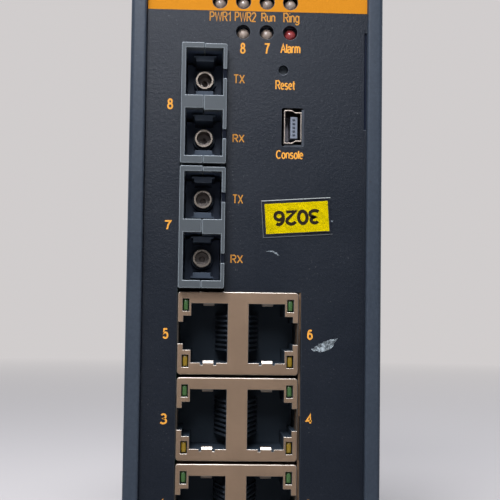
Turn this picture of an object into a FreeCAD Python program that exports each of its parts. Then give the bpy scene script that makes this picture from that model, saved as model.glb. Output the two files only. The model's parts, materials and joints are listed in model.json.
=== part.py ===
"""DIN rail Ethernet switch: a slim ribbed aluminium case with two fibre transceivers, three
two-port jacks, a console port, indicators, a pluggable terminal and a sprung rail clip.

Units are millimetres. X is the width, Y runs from the front (-Y) to the rail (+Y), Z is up.
The origin is the middle of the footprint, on the surface that the bottom plate stands on.
"""
import FreeCAD, Part
import math
import os

V = FreeCAD.Vector

# Case
CASE_WIDTH = 53.2
CASE_DEPTH = 103.0
BEAD_WIDTH = 3.25
BEAD_LENGTH = 6.0
BEAD_RADIUS = 0.9
BEAD_INNER_RADIUS = 0.5
PANEL_RECESS = 1.5
BACK_RECESS = 1.0
PANEL_THICKNESS = 1.5
GROOVE_DEPTH = 1.0
PANEL_PLAY = 0.1
END_PLATE_THICKNESS = 2.0
WEB_THICKNESS = 2.0
RIB_HEIGHT = 1.2
RIB_WIDTH = 1.8
RIB_COUNT = 13
BOSS_RADIUS = 2.8
BOSS_INSET = 2.0
BOSS_FROM_PANEL = 8.0

# Screws of the case and the boards
M3_RADIUS = 1.45
M3_HOLE_RADIUS = 1.6
M3_HEAD_RADIUS = 2.8
M3_PAN_HEIGHT = 1.9
PLATE_SCREW_LENGTH = 9.0
RECESS_WIDTH = 0.7
RECESS_DEPTH = 1.0
GROUND_SCREW_RADIUS = 1.9
GROUND_HEAD_RADIUS = 3.6
GROUND_HEAD_HEIGHT = 2.6
GROUND_SCREW_LENGTH = 7.0
WASHER_RADIUS = 4.4
WASHER_THICKNESS = 0.8

# Boards
BOARD_THICKNESS = 1.6
MAIN_SPACER_LENGTH = 5.95
POWER_SPACER_LENGTH = 4.8
SPACER_RADIUS = 2.6
BOARD_SCREW_LENGTH = 5.0
BOARD_END_MARGIN = 2.5
BOARD_EDGE_CLEARANCE = 0.4
BOARD_BOSS_CLEARANCE = 1.0
POWER_BOARD_HEIGHT = 56.0
POWER_BOARD_INSET = 14.0

# Two-port jacks, stacked upwards from the bottom
JACK_BOTTOM = 9.15
JACK_WIDTH = 25.25
JACK_HEIGHT = 17.2
JACK_DEPTH = 27.0
JACK_GAP = 0.6
JACK_PROUD = 0.6
JACK_COUNT = 3
SHIELD_THICKNESS = 0.25
SHIELD_RADIUS = 0.7
SHIELD_BEND = 0.2
PORT_WIDTH = 7.55
PORT_HEIGHT = 12.3
PORT_DEPTH = 13.0
SPINE_WIDTH = 4.4
STEP_WIDTH = 1.65
STEP_HEIGHT = 7.05
NOTCH_WIDTH = 1.1
NOTCH_HEIGHT = 4.5
WINDOW_WIDTH = 1.33
WINDOW_HEIGHT = 2.56
WINDOW_EDGE = 1.05
WINDOW_END = 1.5
WINDOW_DEPTH = 4.0
WINDOW_RECESS = 0.5
TAB_WIDTH = 2.3
TAB_REACH = 0.5
TAB_RAMP = 0.45
TAB_LENGTH = 4.0
TAB_THICKNESS = 0.18
TAB_ROOT = 0.3
TAB_SHIFT = 0.15
TAB_SLIT = 0.5
TAB_SLIT_DEPTH = 0.45
SIDE_FINGER_OFFSET = 0.3
SIDE_FINGER_THICKNESS = 0.18
SIDE_FINGER_LENGTH = 6.0
SIDE_FINGER_HEIGHT = 9.0
CONTACT_PITCH = 1.02
CONTACT_WIDTH = 0.4
CONTACT_THICKNESS = 0.3
CONTACT_START = 2.0
CONTACT_END = 11.0
CONTACT_RISE = 2.1

# Fibre transceivers, above the jacks
OPTIC_GAP = 0.7
OPTIC_SPACING = 0.55
OPTIC_WIDTH = 9.55
OPTIC_HEIGHT = 25.4
OPTIC_DEPTH = 38.0
OPTIC_PROUD = 3.0
OPTIC_RADIUS = 0.35
OPTIC_COUNT = 2
BAY_WIDTH = 7.8
BAY_HEIGHT = 9.95
BAY_DEPTH = 16.0
BAY_PITCH = 12.7
BAY_LEFT_WALL = 0.95
BAY_TOP_WALL = 1.15
KEY_SLOT_HEIGHT = 1.95
KEY_SLOT_DEPTH = 5.0
KEY_SLOT_DROP = 0.37
SEAM_GAP = 0.08
SEAM_DROP = 0.2
CEILING_DROP = 0.35
SLEEVE_RADIUS = 1.95
SLEEVE_BORE_RADIUS = 1.45
SLEEVE_SETBACK = 9.0
SLEEVE_FLOOR = 3.0
FIBRE_HOLE_RADIUS = 0.6
ARM_WIDTH = 3.8
ARM_THICKNESS = 0.85
ARM_FLANGE_WIDTH = 4.85
ARM_FLANGE_THICKNESS = 0.4
ARM_SETBACK = 5.0
ARM_WALL_GAP = 0.55
ADAPTER_THICKNESS = 2.0
ADAPTER_HUB_RADIUS = 2.35
ADAPTER_HUB_LENGTH = 2.5

# Indicators, measured from the transceivers' top
LED_ROW_ABOVE_OPTICS = 3.15
LED_ROW_PITCH = 6.5
LED_PITCH = 5.0
LED_FIRST_X = 7.85
LED_HOLE_RADIUS = 1.525
LED_RADIUS = 1.48
LED_FLANGE_RADIUS = 1.8
LED_FLANGE_HEIGHT = 1.0
LED_SETBACK = 1.0
TOP_MARGIN = 14.3

# Indicator board, console port and reset button, behind and in the panel
BOARD_SETBACK = 6.8
INDICATOR_BOARD_TOP = 4.5
RESET_X = 21.47
RESET_BELOW_LED_ROW = 8.05
RESET_HOLE_RADIUS = 1.0
RESET_BUTTON_RADIUS = 1.6
RESET_BUTTON_SETBACK = 2.3
RESET_TRAVEL = 0.3
RESET_BODY_SIZE = 6.0
RESET_BODY_HEIGHT = 3.2
RESET_RUNNING_CLEARANCE = 0.08
CONSOLE_X = 23.6
CONSOLE_BELOW_RESET = 12.15
CONSOLE_CUTOUT_WIDTH = 4.67
CONSOLE_CUTOUT_HEIGHT = 8.15
CONSOLE_CUTOUT_RADIUS = 0.4
CONSOLE_PROUD = 0.3
CONSOLE_WIDTH = 3.75
CONSOLE_HEIGHT = 7.2
CONSOLE_WALL = 0.28
CONSOLE_STEP_WIDTH = 1.75
CONSOLE_SLOPE = 0.6
CONSOLE_STEP = 0.45
TONGUE_WIDTH = 1.5
TONGUE_HEIGHT = 4.6
TONGUE_SETBACK = 0.6
TONGUE_SHIFT = 0.3
CONSOLE_CONTACTS = 5
CONSOLE_CONTACT_PITCH = 0.8
CONSOLE_CONTACT_WIDTH = 0.36
CONSOLE_CONTACT_THICKNESS = 0.5

# Slot along the panel's right edge
EDGE_SLOT_WIDTH = 0.5
EDGE_SLOT_BOTTOM = 17.35
EDGE_SLOT_TOP = 3.45

# Tape label and the clear film over it
LABEL_SHIFT = 0.325
LABEL_ABOVE_JACKS = 15.85
LABEL_WIDTH = 13.38
LABEL_HEIGHT = 6.35
LABEL_TILT = 3.9
LABEL_THICKNESS = 0.14
FILM_WIDTH = 14.75
FILM_HEIGHT = 7.9
FILM_THICKNESS = 0.06

# Rail clip for a 35 mm rail
RAIL_HEIGHT = 35.0
RAIL_ABOVE_MIDDLE = 3.0
RAIL_FLANGE_GAP = 1.25
CLIP_WIDTH = 35.0
CLIP_BASE_THICKNESS = 6.0
CLIP_BASE_BELOW = 27.0
CLIP_BASE_ABOVE = 24.0
HOOK_WIDTH = 30.0
HOOK_THICKNESS = 1.8
HOOK_LIP = 2.6
HOOK_ROOT = 3.0
HOOK_CLEARANCE = 0.3
LATCH_WIDTH = 16.0
LATCH_WING = 2.0
LATCH_WING_THICKNESS = 1.3
LATCH_THICKNESS = 3.6
LATCH_CLEARANCE = 0.15
LATCH_LIP = 1.7
LATCH_TAIL = 16.0
LATCH_TAIL_RADIUS = 3.0
LATCH_RISE = 24.0
LATCH_TRAVEL = 4.0
PULL_SLOT_WIDTH = 8.0
PULL_SLOT_HEIGHT = 3.0
SPRING_WINDOW_WIDTH = 4.4
SPRING_WINDOW_BOTTOM = 2.0
POST_HEIGHT = 3.0
SPRING_LENGTH = 15.0
SPRING_RADIUS = 1.5
SPRING_WIRE_RADIUS = 0.25
SPRING_TURNS = 7
CLIP_SCREW_X = 14.0
CLIP_SCREW_BELOW = 22.0
CLIP_SCREW_ABOVE = 19.0
CLIP_SCREW_LENGTH = 9.5
CLINCH_NUT_RADIUS = 2.7
CLINCH_NUT_HEIGHT = 1.8

# Pluggable terminal in the top plate
POLE_COUNT = 6
POLE_PITCH = 5.08
HEADER_WIDTH = 12.0
HEADER_WALL = 1.0
HEADER_FLOOR = 2.5
HEADER_PROUD = 1.0
HEADER_HEIGHT = 14.5
HEADER_CLEARANCE = 0.3
PIN_WIDTH = 1.0
PIN_HEIGHT = 7.0
PLUG_PLAY = 0.15
PLUG_SEAT_GAP = 0.3
PLUG_ABOVE_HEADER = 6.0
WIRE_ENTRY_WIDTH = 3.0
WIRE_ENTRY_INSET = 2.7
WIRE_ENTRY_LENGTH = 3.6
WIRE_ENTRY_DEPTH = 7.0
TERMINAL_SCREW_RADIUS = 1.7
TERMINAL_SCREW_INSET = 2.5
TERMINAL_SCREW_RECESS = 1.2
TERMINAL_SCREW_LENGTH = 5.0
TERMINAL_SLOT_WIDTH = 0.6
TERMINAL_SLOT_DEPTH = 0.7
CLAMP_HEIGHT = 3.0
SOCKET_WIDTH = 1.6

# Components on the boards
CHIP_SIZE = 20.0
CHIP_HEIGHT = 1.8
HEATSINK_SIZE = 24.0
HEATSINK_BASE = 2.0
HEATSINK_HEIGHT = 9.0
HEATSINK_FINS = 7
HEATSINK_FIN_THICKNESS = 1.2
TRANSFORMER_SIZE = 17.0
TRANSFORMER_HEIGHT = 12.0
BOBBIN_FLANGE = 1.5
CAPACITOR_RADIUS = 4.0
CAPACITOR_HEIGHT = 12.0
CAPACITOR_PITCH = 11.0
CAPACITOR_COUNT = 3
RELAY_LENGTH = 20.0
RELAY_WIDTH = 10.0
RELAY_HEIGHT = 10.5
LINK_BOARD_HEIGHT = 26.0
LINK_BOARD_FROM_REAR = 10.0

# Places worked out from the sizes above
JACK_PITCH = JACK_HEIGHT + JACK_GAP
JACKS_TOP = JACK_BOTTOM + JACK_COUNT * JACK_PITCH - JACK_GAP
OPTIC_PITCH = OPTIC_HEIGHT + OPTIC_SPACING
OPTICS_BOTTOM = JACKS_TOP + OPTIC_GAP
OPTICS_TOP = OPTICS_BOTTOM + OPTIC_COUNT * OPTIC_PITCH - OPTIC_SPACING
LOWER_LED_Z = OPTICS_TOP + LED_ROW_ABOVE_OPTICS
UPPER_LED_Z = LOWER_LED_Z + LED_ROW_PITCH
CASE_HEIGHT = UPPER_LED_Z + TOP_MARGIN
RESET_Z = LOWER_LED_Z - RESET_BELOW_LED_ROW
CONSOLE_Z = RESET_Z - CONSOLE_BELOW_RESET
LABEL_Z = JACKS_TOP + LABEL_ABOVE_JACKS

CLIP_REACH = CLIP_BASE_THICKNESS - BACK_RECESS + RAIL_FLANGE_GAP + HOOK_THICKNESS
TOTAL_DEPTH = OPTIC_PROUD - PANEL_RECESS + CASE_DEPTH + CLIP_REACH
PANEL_Y = OPTIC_PROUD - TOTAL_DEPTH / 2
PANEL_BACK_Y = PANEL_Y + PANEL_THICKNESS
CASE_FRONT_Y = PANEL_Y - PANEL_RECESS
CASE_REAR_Y = CASE_FRONT_Y + CASE_DEPTH
BACK_PANEL_Y = CASE_REAR_Y - BACK_RECESS
BACK_PANEL_INNER_Y = BACK_PANEL_Y - PANEL_THICKNESS

CASE_SIDE_X = CASE_WIDTH / 2
BEAD_INNER_X = CASE_SIDE_X - BEAD_WIDTH
WEB_OUTER_X = CASE_SIDE_X - RIB_HEIGHT
WEB_INNER_X = WEB_OUTER_X - WEB_THICKNESS
BOSS_X = WEB_INNER_X - BOSS_INSET
BOSS_Y = (PANEL_Y + BOSS_FROM_PANEL, BACK_PANEL_INNER_Y - BOSS_FROM_PANEL)
PROFILE_BOTTOM = END_PLATE_THICKNESS
PROFILE_TOP = CASE_HEIGHT - END_PLATE_THICKNESS

MAIN_BOARD_BACK_X = -WEB_INNER_X + MAIN_SPACER_LENGTH
MAIN_BOARD_X = MAIN_BOARD_BACK_X + BOARD_THICKNESS
POWER_BOARD_BACK_X = WEB_INNER_X - POWER_SPACER_LENGTH
POWER_BOARD_X = POWER_BOARD_BACK_X - BOARD_THICKNESS
BOARD_BOTTOM = PROFILE_BOTTOM + BOARD_END_MARGIN
BOARD_TOP = PROFILE_TOP - BOARD_END_MARGIN
MAIN_BOARD_FRONT_Y = PANEL_BACK_Y + BOARD_EDGE_CLEARANCE
MAIN_BOARD_REAR_Y = BACK_PANEL_INNER_Y - CLINCH_NUT_HEIGHT - BOARD_EDGE_CLEARANCE
POWER_BOARD_FRONT_Y = PANEL_Y + POWER_BOARD_INSET
POWER_BOARD_REAR_Y = BACK_PANEL_INNER_Y - POWER_BOARD_INSET
POWER_BOARD_BOTTOM = BOARD_TOP - POWER_BOARD_HEIGHT
INDICATOR_BOARD_Y = PANEL_Y + BOARD_SETBACK

JACK_RIGHT_X = MAIN_BOARD_X + JACK_WIDTH
OPTIC_RIGHT_X = MAIN_BOARD_X + OPTIC_WIDTH

SPACER_INSET = 7.0
MAIN_SPACER_Y = (PANEL_Y - JACK_PROUD + JACK_DEPTH + SPACER_INSET, MAIN_BOARD_REAR_Y - 2 * SPACER_INSET)
MAIN_SPACER_Z = (BOARD_BOTTOM + SPACER_INSET, BOARD_TOP - SPACER_INSET)
POWER_SPACER_Y = (POWER_BOARD_FRONT_Y + SPACER_INSET, POWER_BOARD_REAR_Y - SPACER_INSET)
POWER_SPACER_Z = (POWER_BOARD_BOTTOM + SPACER_INSET, BOARD_TOP - SPACER_INSET)

RAIL_Z = CASE_HEIGHT / 2 + RAIL_ABOVE_MIDDLE
RAIL_TOP = RAIL_Z + RAIL_HEIGHT / 2
RAIL_BOTTOM = RAIL_Z - RAIL_HEIGHT / 2
RAIL_SEAT_Y = BACK_PANEL_Y + CLIP_BASE_THICKNESS
HOOK_INNER_Y = RAIL_SEAT_Y + RAIL_FLANGE_GAP
HOOK_OUTER_Y = HOOK_INNER_Y + HOOK_THICKNESS
LATCH_BACK_Y = RAIL_SEAT_Y - LATCH_CLEARANCE
LATCH_FRONT_Y = LATCH_BACK_Y - LATCH_THICKNESS
CHANNEL_FLOOR_Y = LATCH_FRONT_Y - LATCH_CLEARANCE
POST_BOTTOM = RAIL_BOTTOM + SPRING_WINDOW_BOTTOM + LATCH_CLEARANCE
SPRING_BOTTOM = POST_BOTTOM + POST_HEIGHT
SPRING_TOP = SPRING_BOTTOM + SPRING_LENGTH
SPRING_Y = (LATCH_FRONT_Y + LATCH_BACK_Y) / 2
CLIP_SCREW_PLACES = [(side * CLIP_SCREW_X, z)
                     for side in (-1, 1)
                     for z in (RAIL_Z - CLIP_SCREW_BELOW, RAIL_Z + CLIP_SCREW_ABOVE)]

HEADER_LENGTH = POLE_COUNT * POLE_PITCH + 2 * HEADER_WALL
HEADER_RIGHT_X = POWER_BOARD_X
HEADER_LEFT_X = HEADER_RIGHT_X - HEADER_WIDTH
HEADER_X = (HEADER_LEFT_X + HEADER_RIGHT_X) / 2
HEADER_Y = (POWER_BOARD_FRONT_Y + POWER_BOARD_REAR_Y) / 2
HEADER_TOP = CASE_HEIGHT + HEADER_PROUD
HEADER_BOTTOM = HEADER_TOP - HEADER_HEIGHT
HEADER_FLOOR_Z = HEADER_BOTTOM + HEADER_FLOOR
POLE_Y = [HEADER_Y + (i - (POLE_COUNT - 1) / 2) * POLE_PITCH for i in range(POLE_COUNT)]
PLUG_BOTTOM = HEADER_FLOOR_Z + PLUG_SEAT_GAP
PLUG_TOP = HEADER_TOP + PLUG_ABOVE_HEADER
PLUG_LEFT_X = HEADER_LEFT_X + HEADER_WALL + PLUG_PLAY
PLUG_RIGHT_X = HEADER_RIGHT_X - HEADER_WALL - PLUG_PLAY
WIRE_ENTRY_X = PLUG_LEFT_X + WIRE_ENTRY_INSET
TERMINAL_SCREW_X = PLUG_RIGHT_X - TERMINAL_SCREW_INSET

LED_PLACES = [(MAIN_BOARD_X + LED_FIRST_X + i * LED_PITCH, UPPER_LED_Z) for i in range(4)]
LED_PLACES += [(MAIN_BOARD_X + LED_FIRST_X + i * LED_PITCH, LOWER_LED_Z) for i in (1, 2)]
ALARM_LED_PLACE = (MAIN_BOARD_X + LED_FIRST_X + 3 * LED_PITCH, LOWER_LED_Z)
RESET_PLACE_X = MAIN_BOARD_X + RESET_X
CONSOLE_PLACE_X = MAIN_BOARD_X + CONSOLE_X
LABEL_PLACE_X = (OPTIC_RIGHT_X + BEAD_INNER_X) / 2 + LABEL_SHIFT
INDICATOR_BOARD_RIGHT_X = BOSS_X - BOSS_RADIUS - BOARD_BOSS_CLEARANCE


def box(x0, x1, y0, y1, z0, z1):
    """A block between two corners."""
    return Part.makeBox(x1 - x0, y1 - y0, z1 - z0, V(x0, y0, z0))


def rod_x(y, z, radius, x0, x1):
    """A round bar along X."""
    return Part.makeCylinder(radius, x1 - x0, V(x0, y, z), V(1, 0, 0))


def rod_y(x, z, radius, y0, y1):
    """A round bar along Y."""
    return Part.makeCylinder(radius, y1 - y0, V(x, y0, z), V(0, 1, 0))


def rod_z(x, y, radius, z0, z1):
    """A round bar along Z."""
    return Part.makeCylinder(radius, z1 - z0, V(x, y, z0), V(0, 0, 1))


def prism(points, start, end, axis):
    """A straight extrusion along one axis of a closed outline in the other two axes."""
    place = {"X": lambda a, b: V(start, a, b),
             "Y": lambda a, b: V(a, start, b),
             "Z": lambda a, b: V(a, b, start)}[axis]
    along = {"X": V(1, 0, 0), "Y": V(0, 1, 0), "Z": V(0, 0, 1)}[axis]
    corners = [place(a, b) for a, b in points]
    outline = Part.makePolygon(corners + corners[:1])
    return Part.Face(outline).extrude(along * (end - start))


def union(shapes):
    """One shape fused from several that touch."""
    whole = shapes[0]
    for shape in shapes[1:]:
        whole = whole.fuse(shape)
    return whole.removeSplitter()


def group(shapes):
    """Separate solids kept together in one node."""
    return Part.makeCompound(shapes)


def cut(shape, tools):
    """The shape with all the tools taken away."""
    return shape.cut(Part.makeCompound(tools))


def mirror_x(shape):
    """The mirror image on the other side of the middle plane."""
    return shape.mirror(V(0, 0, 0), V(1, 0, 0))


def edges_along(shape, axis, test):
    """The straight edges that run along one axis and whose middle passes a test."""
    chosen = []
    for edge in shape.Edges:
        if len(edge.Vertexes) != 2:
            continue
        run = edge.Vertexes[1].Point - edge.Vertexes[0].Point
        if run.Length < 1e-6:
            continue
        if abs(abs(run.dot(axis)) / run.Length - 1) < 1e-6 and test(edge.CenterOfMass):
            chosen.append(edge)
    return chosen


def rounded_block(x0, x1, y0, y1, z0, z1, radius, axis):
    """A block whose four edges along one axis are rounded."""
    block = box(x0, x1, y0, y1, z0, z1)
    return block.makeFillet(radius, edges_along(block, axis, lambda middle: True))


def countersunk_screw(length, radius, head_radius):
    """A countersunk screw at the origin: its flat head's top at z = 0, its shank down -Z."""
    head_height = head_radius - radius
    outline = [V(0, 0, 0), V(head_radius, 0, 0), V(radius, 0, -head_height),
               V(radius, 0, -length), V(0, 0, -length)]
    section = Part.Face(Part.makePolygon(outline + outline[:1]))
    screw = section.revolve(V(0, 0, 0), V(0, 0, 1), 360)
    return cut(screw, [cross_recess(head_radius, 0)])


def pan_screw(length, radius, head_radius, head_height):
    """A pan head screw at the origin: its head stands on z = 0, its shank goes down -Z."""
    outline = [V(0, 0, head_height), V(head_radius * 0.7, 0, head_height),
               V(head_radius, 0, head_height * 0.6), V(head_radius, 0, 0),
               V(radius, 0, 0), V(radius, 0, -length), V(0, 0, -length)]
    section = Part.Face(Part.makePolygon(outline + outline[:1]))
    screw = section.revolve(V(0, 0, 0), V(0, 0, 1), 360)
    return cut(screw, [cross_recess(head_radius, head_height)])


def cross_recess(head_radius, top):
    """The cross driver recess in a screw head whose top is at the height given."""
    reach = head_radius * 0.55
    half = RECESS_WIDTH / 2
    low = top - RECESS_DEPTH
    return union([box(-reach, reach, -half, half, low, top + 0.1),
                  box(-half, half, -reach, reach, low, top + 0.1)])


def turned(shape, axis, angle):
    """A copy turned about an axis through the origin."""
    copy = shape.copy()
    copy.rotate(V(0, 0, 0), axis, angle)
    return copy


def moved(shape, x, y, z):
    """A copy moved by the distances given."""
    copy = shape.copy()
    copy.translate(V(x, y, z))
    return copy


# Case

def side_profile():
    """The left side: an extruded web with outer ribs, a bead at each end that holds a panel in
    its groove, and two screw channels."""
    middle_z = (PROFILE_BOTTOM + PROFILE_TOP) / 2
    web = box(-WEB_OUTER_X, -WEB_INNER_X, CASE_FRONT_Y + 1, CASE_REAR_Y - 1,
              PROFILE_BOTTOM, PROFILE_TOP)
    beads = []
    for front, rear in ((CASE_FRONT_Y, CASE_FRONT_Y + BEAD_LENGTH),
                        (CASE_REAR_Y - BEAD_LENGTH, CASE_REAR_Y)):
        bead = box(-CASE_SIDE_X, -BEAD_INNER_X, front, rear, PROFILE_BOTTOM, PROFILE_TOP)
        face = front if front == CASE_FRONT_Y else rear
        outer = edges_along(bead, V(0, 0, 1), lambda m: abs(m.y - face) < 0.1 and m.x < -CASE_SIDE_X + 0.1)
        bead = bead.makeFillet(BEAD_RADIUS, outer)
        inner = edges_along(bead, V(0, 0, 1), lambda m: abs(m.y - face) < 0.1 and m.x > -BEAD_INNER_X - 0.1)
        beads.append(bead.makeFillet(BEAD_INNER_RADIUS, inner))
    first = CASE_FRONT_Y + BEAD_LENGTH
    last = CASE_REAR_Y - BEAD_LENGTH
    pitch = (last - first) / (RIB_COUNT + 1)
    ribs = [box(-CASE_SIDE_X, -WEB_OUTER_X, first + (i + 1) * pitch - RIB_WIDTH / 2,
                first + (i + 1) * pitch + RIB_WIDTH / 2, PROFILE_BOTTOM, PROFILE_TOP)
            for i in range(RIB_COUNT)]
    bosses = [rod_z(-BOSS_X, y, BOSS_RADIUS, PROFILE_BOTTOM, PROFILE_TOP) for y in BOSS_Y]
    profile = union([web] + beads + ribs + bosses)
    groove_x = -BEAD_INNER_X - GROOVE_DEPTH
    play = PANEL_PLAY / 2
    grooves = [box(groove_x, -BEAD_INNER_X + 0.1, front - play, front + PANEL_THICKNESS + play,
                   PROFILE_BOTTOM - 1, PROFILE_TOP + 1)
               for front in (PANEL_Y, BACK_PANEL_INNER_Y)]
    channels = [rod_z(-BOSS_X, y, M3_RADIUS, middle_z - CASE_HEIGHT, middle_z + CASE_HEIGHT)
                for y in BOSS_Y]
    return cut(profile, grooves + channels)


def plain_panel(front_y):
    """A sheet that slides in the grooves of both side profiles."""
    half = BEAD_INNER_X + GROOVE_DEPTH - PANEL_PLAY
    return box(-half, half, front_y, front_y + PANEL_THICKNESS, PROFILE_BOTTOM, PROFILE_TOP)


def front_panel():
    """The front sheet with the connectors' L-shaped cut-out, round holes and the edge slot."""
    through = (PANEL_Y - 1, PANEL_BACK_Y + 1)
    play = PANEL_PLAY
    left = MAIN_BOARD_X - play
    jack_right = JACK_RIGHT_X + SIDE_FINGER_OFFSET + SIDE_FINGER_THICKNESS + play
    optic_right = OPTIC_RIGHT_X + play
    split = JACKS_TOP + play
    connectors = [(left, JACK_BOTTOM - play), (jack_right, JACK_BOTTOM - play), (jack_right, split),
                  (optic_right, split), (optic_right, OPTICS_TOP + play), (left, OPTICS_TOP + play)]
    tools = [prism(connectors, through[0], through[1], "Y")]
    for x, z in LED_PLACES + [ALARM_LED_PLACE]:
        tools.append(rod_y(x, z, LED_HOLE_RADIUS, through[0], through[1]))
    tools.append(rod_y(RESET_PLACE_X, RESET_Z, RESET_HOLE_RADIUS, through[0], through[1]))
    half_width = CONSOLE_CUTOUT_WIDTH / 2
    half_height = CONSOLE_CUTOUT_HEIGHT / 2
    tools.append(rounded_block(CONSOLE_PLACE_X - half_width, CONSOLE_PLACE_X + half_width,
                               through[0], through[1],
                               CONSOLE_Z - half_height, CONSOLE_Z + half_height,
                               CONSOLE_CUTOUT_RADIUS, V(0, 1, 0)))
    tools.append(box(BEAD_INNER_X - EDGE_SLOT_WIDTH, BEAD_INNER_X, through[0], through[1],
                     OPTICS_TOP - EDGE_SLOT_BOTTOM, OPTICS_TOP + EDGE_SLOT_TOP))
    return cut(plain_panel(PANEL_Y), tools)


def back_panel():
    """The rear sheet with the rail clip's four screw holes."""
    holes = [rod_y(x, z, M3_HOLE_RADIUS, BACK_PANEL_INNER_Y - 1, BACK_PANEL_Y + 1)
             for x, z in CLIP_SCREW_PLACES]
    return cut(plain_panel(BACK_PANEL_INNER_Y), holes)


def plate_screw_places():
    """The four places where an end plate is screwed to the side profiles."""
    return [(side * BOSS_X, y) for side in (-1, 1) for y in BOSS_Y]


def end_plate(low, outer_face):
    """An end plate with countersunk holes that open on its outer face."""
    high = low + END_PLATE_THICKNESS
    plate = rounded_block(-CASE_SIDE_X, CASE_SIDE_X, CASE_FRONT_Y, CASE_REAR_Y, low, high,
                          BEAD_RADIUS, V(0, 0, 1))
    sink = M3_HEAD_RADIUS - M3_RADIUS
    tools = []
    for x, y in plate_screw_places():
        tools.append(rod_z(x, y, M3_HOLE_RADIUS, low - 1, high + 1))
        if outer_face > low:
            cone = Part.makeCone(M3_RADIUS, M3_HEAD_RADIUS, sink, V(x, y, high - sink))
        else:
            cone = Part.makeCone(M3_HEAD_RADIUS, M3_RADIUS, sink, V(x, y, low))
        tools.append(cone)
    return cut(plate, tools)


GROUND_SCREW_PLACE = (-BOSS_X / 2, BOSS_Y[1] - BOSS_FROM_PANEL)


def top_plate():
    """The top plate with the terminal's cut-out and the ground screw's hole."""
    plate = end_plate(PROFILE_TOP, CASE_HEIGHT)
    terminal = box(HEADER_LEFT_X - HEADER_CLEARANCE, HEADER_RIGHT_X + HEADER_CLEARANCE,
                   HEADER_Y - HEADER_LENGTH / 2 - HEADER_CLEARANCE,
                   HEADER_Y + HEADER_LENGTH / 2 + HEADER_CLEARANCE,
                   PROFILE_TOP - 1, CASE_HEIGHT + 1)
    x, y = GROUND_SCREW_PLACE
    hole = rod_z(x, y, GROUND_SCREW_RADIUS + 0.05, PROFILE_TOP - 1, CASE_HEIGHT + 1)
    return cut(plate, [terminal, hole])


def plate_screws(face_z, upwards):
    """Four countersunk screws, flush with an end plate's outer face."""
    screw = countersunk_screw(PLATE_SCREW_LENGTH, M3_RADIUS, M3_HEAD_RADIUS)
    if not upwards:
        screw = turned(screw, V(1, 0, 0), 180)
    return group([moved(screw, x, y, face_z) for x, y in plate_screw_places()])


def ground_screw():
    """The pan head ground screw on the top plate, over its washer."""
    x, y = GROUND_SCREW_PLACE
    screw = pan_screw(GROUND_SCREW_LENGTH, GROUND_SCREW_RADIUS, GROUND_HEAD_RADIUS, GROUND_HEAD_HEIGHT)
    return moved(screw, x, y, CASE_HEIGHT + WASHER_THICKNESS)


def ground_washer():
    """The washer under the ground screw's head."""
    x, y = GROUND_SCREW_PLACE
    disc = rod_z(x, y, WASHER_RADIUS, CASE_HEIGHT, CASE_HEIGHT + WASHER_THICKNESS)
    return cut(disc, [rod_z(x, y, GROUND_SCREW_RADIUS + 0.05, CASE_HEIGHT - 1, CASE_HEIGHT + 2)])


# Rail clip

def rail_clip_base():
    """The cast clip base: a plate with the fixed upper hook, the latch's T-channel and a post
    for the latch spring."""
    half = CLIP_WIDTH / 2
    bottom = RAIL_Z - CLIP_BASE_BELOW
    top = RAIL_Z + CLIP_BASE_ABOVE
    plate = rounded_block(-half, half, BACK_PANEL_Y, RAIL_SEAT_Y, bottom, top, 2.0, V(0, 1, 0))
    hook_half = HOOK_WIDTH / 2
    root_low = RAIL_TOP + HOOK_CLEARANCE
    root_high = root_low + HOOK_ROOT
    hook = [(RAIL_SEAT_Y - 0.5, root_low), (HOOK_INNER_Y, root_low),
            (HOOK_INNER_Y, RAIL_TOP - HOOK_LIP), (HOOK_OUTER_Y - 0.6, RAIL_TOP - HOOK_LIP),
            (HOOK_OUTER_Y, RAIL_TOP - HOOK_LIP + 0.8), (HOOK_OUTER_Y, root_high - 1.2),
            (HOOK_OUTER_Y - 1.2, root_high), (RAIL_SEAT_Y - 0.5, root_high)]
    base = union([plate, prism(hook, -hook_half, hook_half, "X")])
    channel_top = RAIL_BOTTOM + LATCH_RISE + HOOK_CLEARANCE
    mouth = LATCH_WIDTH / 2 + LATCH_CLEARANCE
    wing = mouth + LATCH_WING
    wing_back_y = LATCH_FRONT_Y + LATCH_WING_THICKNESS + LATCH_CLEARANCE
    channel = [box(-mouth, mouth, CHANNEL_FLOOR_Y, RAIL_SEAT_Y + 1, bottom - 1, channel_top),
               box(-wing, wing, CHANNEL_FLOOR_Y, wing_back_y, bottom - 1, channel_top)]
    post_half = SPRING_WINDOW_WIDTH / 2 - HOOK_CLEARANCE
    post = box(-post_half, post_half, CHANNEL_FLOOR_Y - 0.5, LATCH_BACK_Y, POST_BOTTOM, SPRING_BOTTOM)
    base = union([cut(base, channel), post])
    sink = M3_HEAD_RADIUS - M3_RADIUS
    holes = []
    for x, z in CLIP_SCREW_PLACES:
        holes.append(rod_y(x, z, M3_HOLE_RADIUS, BACK_PANEL_Y - 1, RAIL_SEAT_Y + 1))
        holes.append(Part.makeCone(M3_RADIUS, M3_HEAD_RADIUS, sink,
                                   V(x, RAIL_SEAT_Y - sink, z), V(0, 1, 0)))
    return cut(base, holes)


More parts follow.
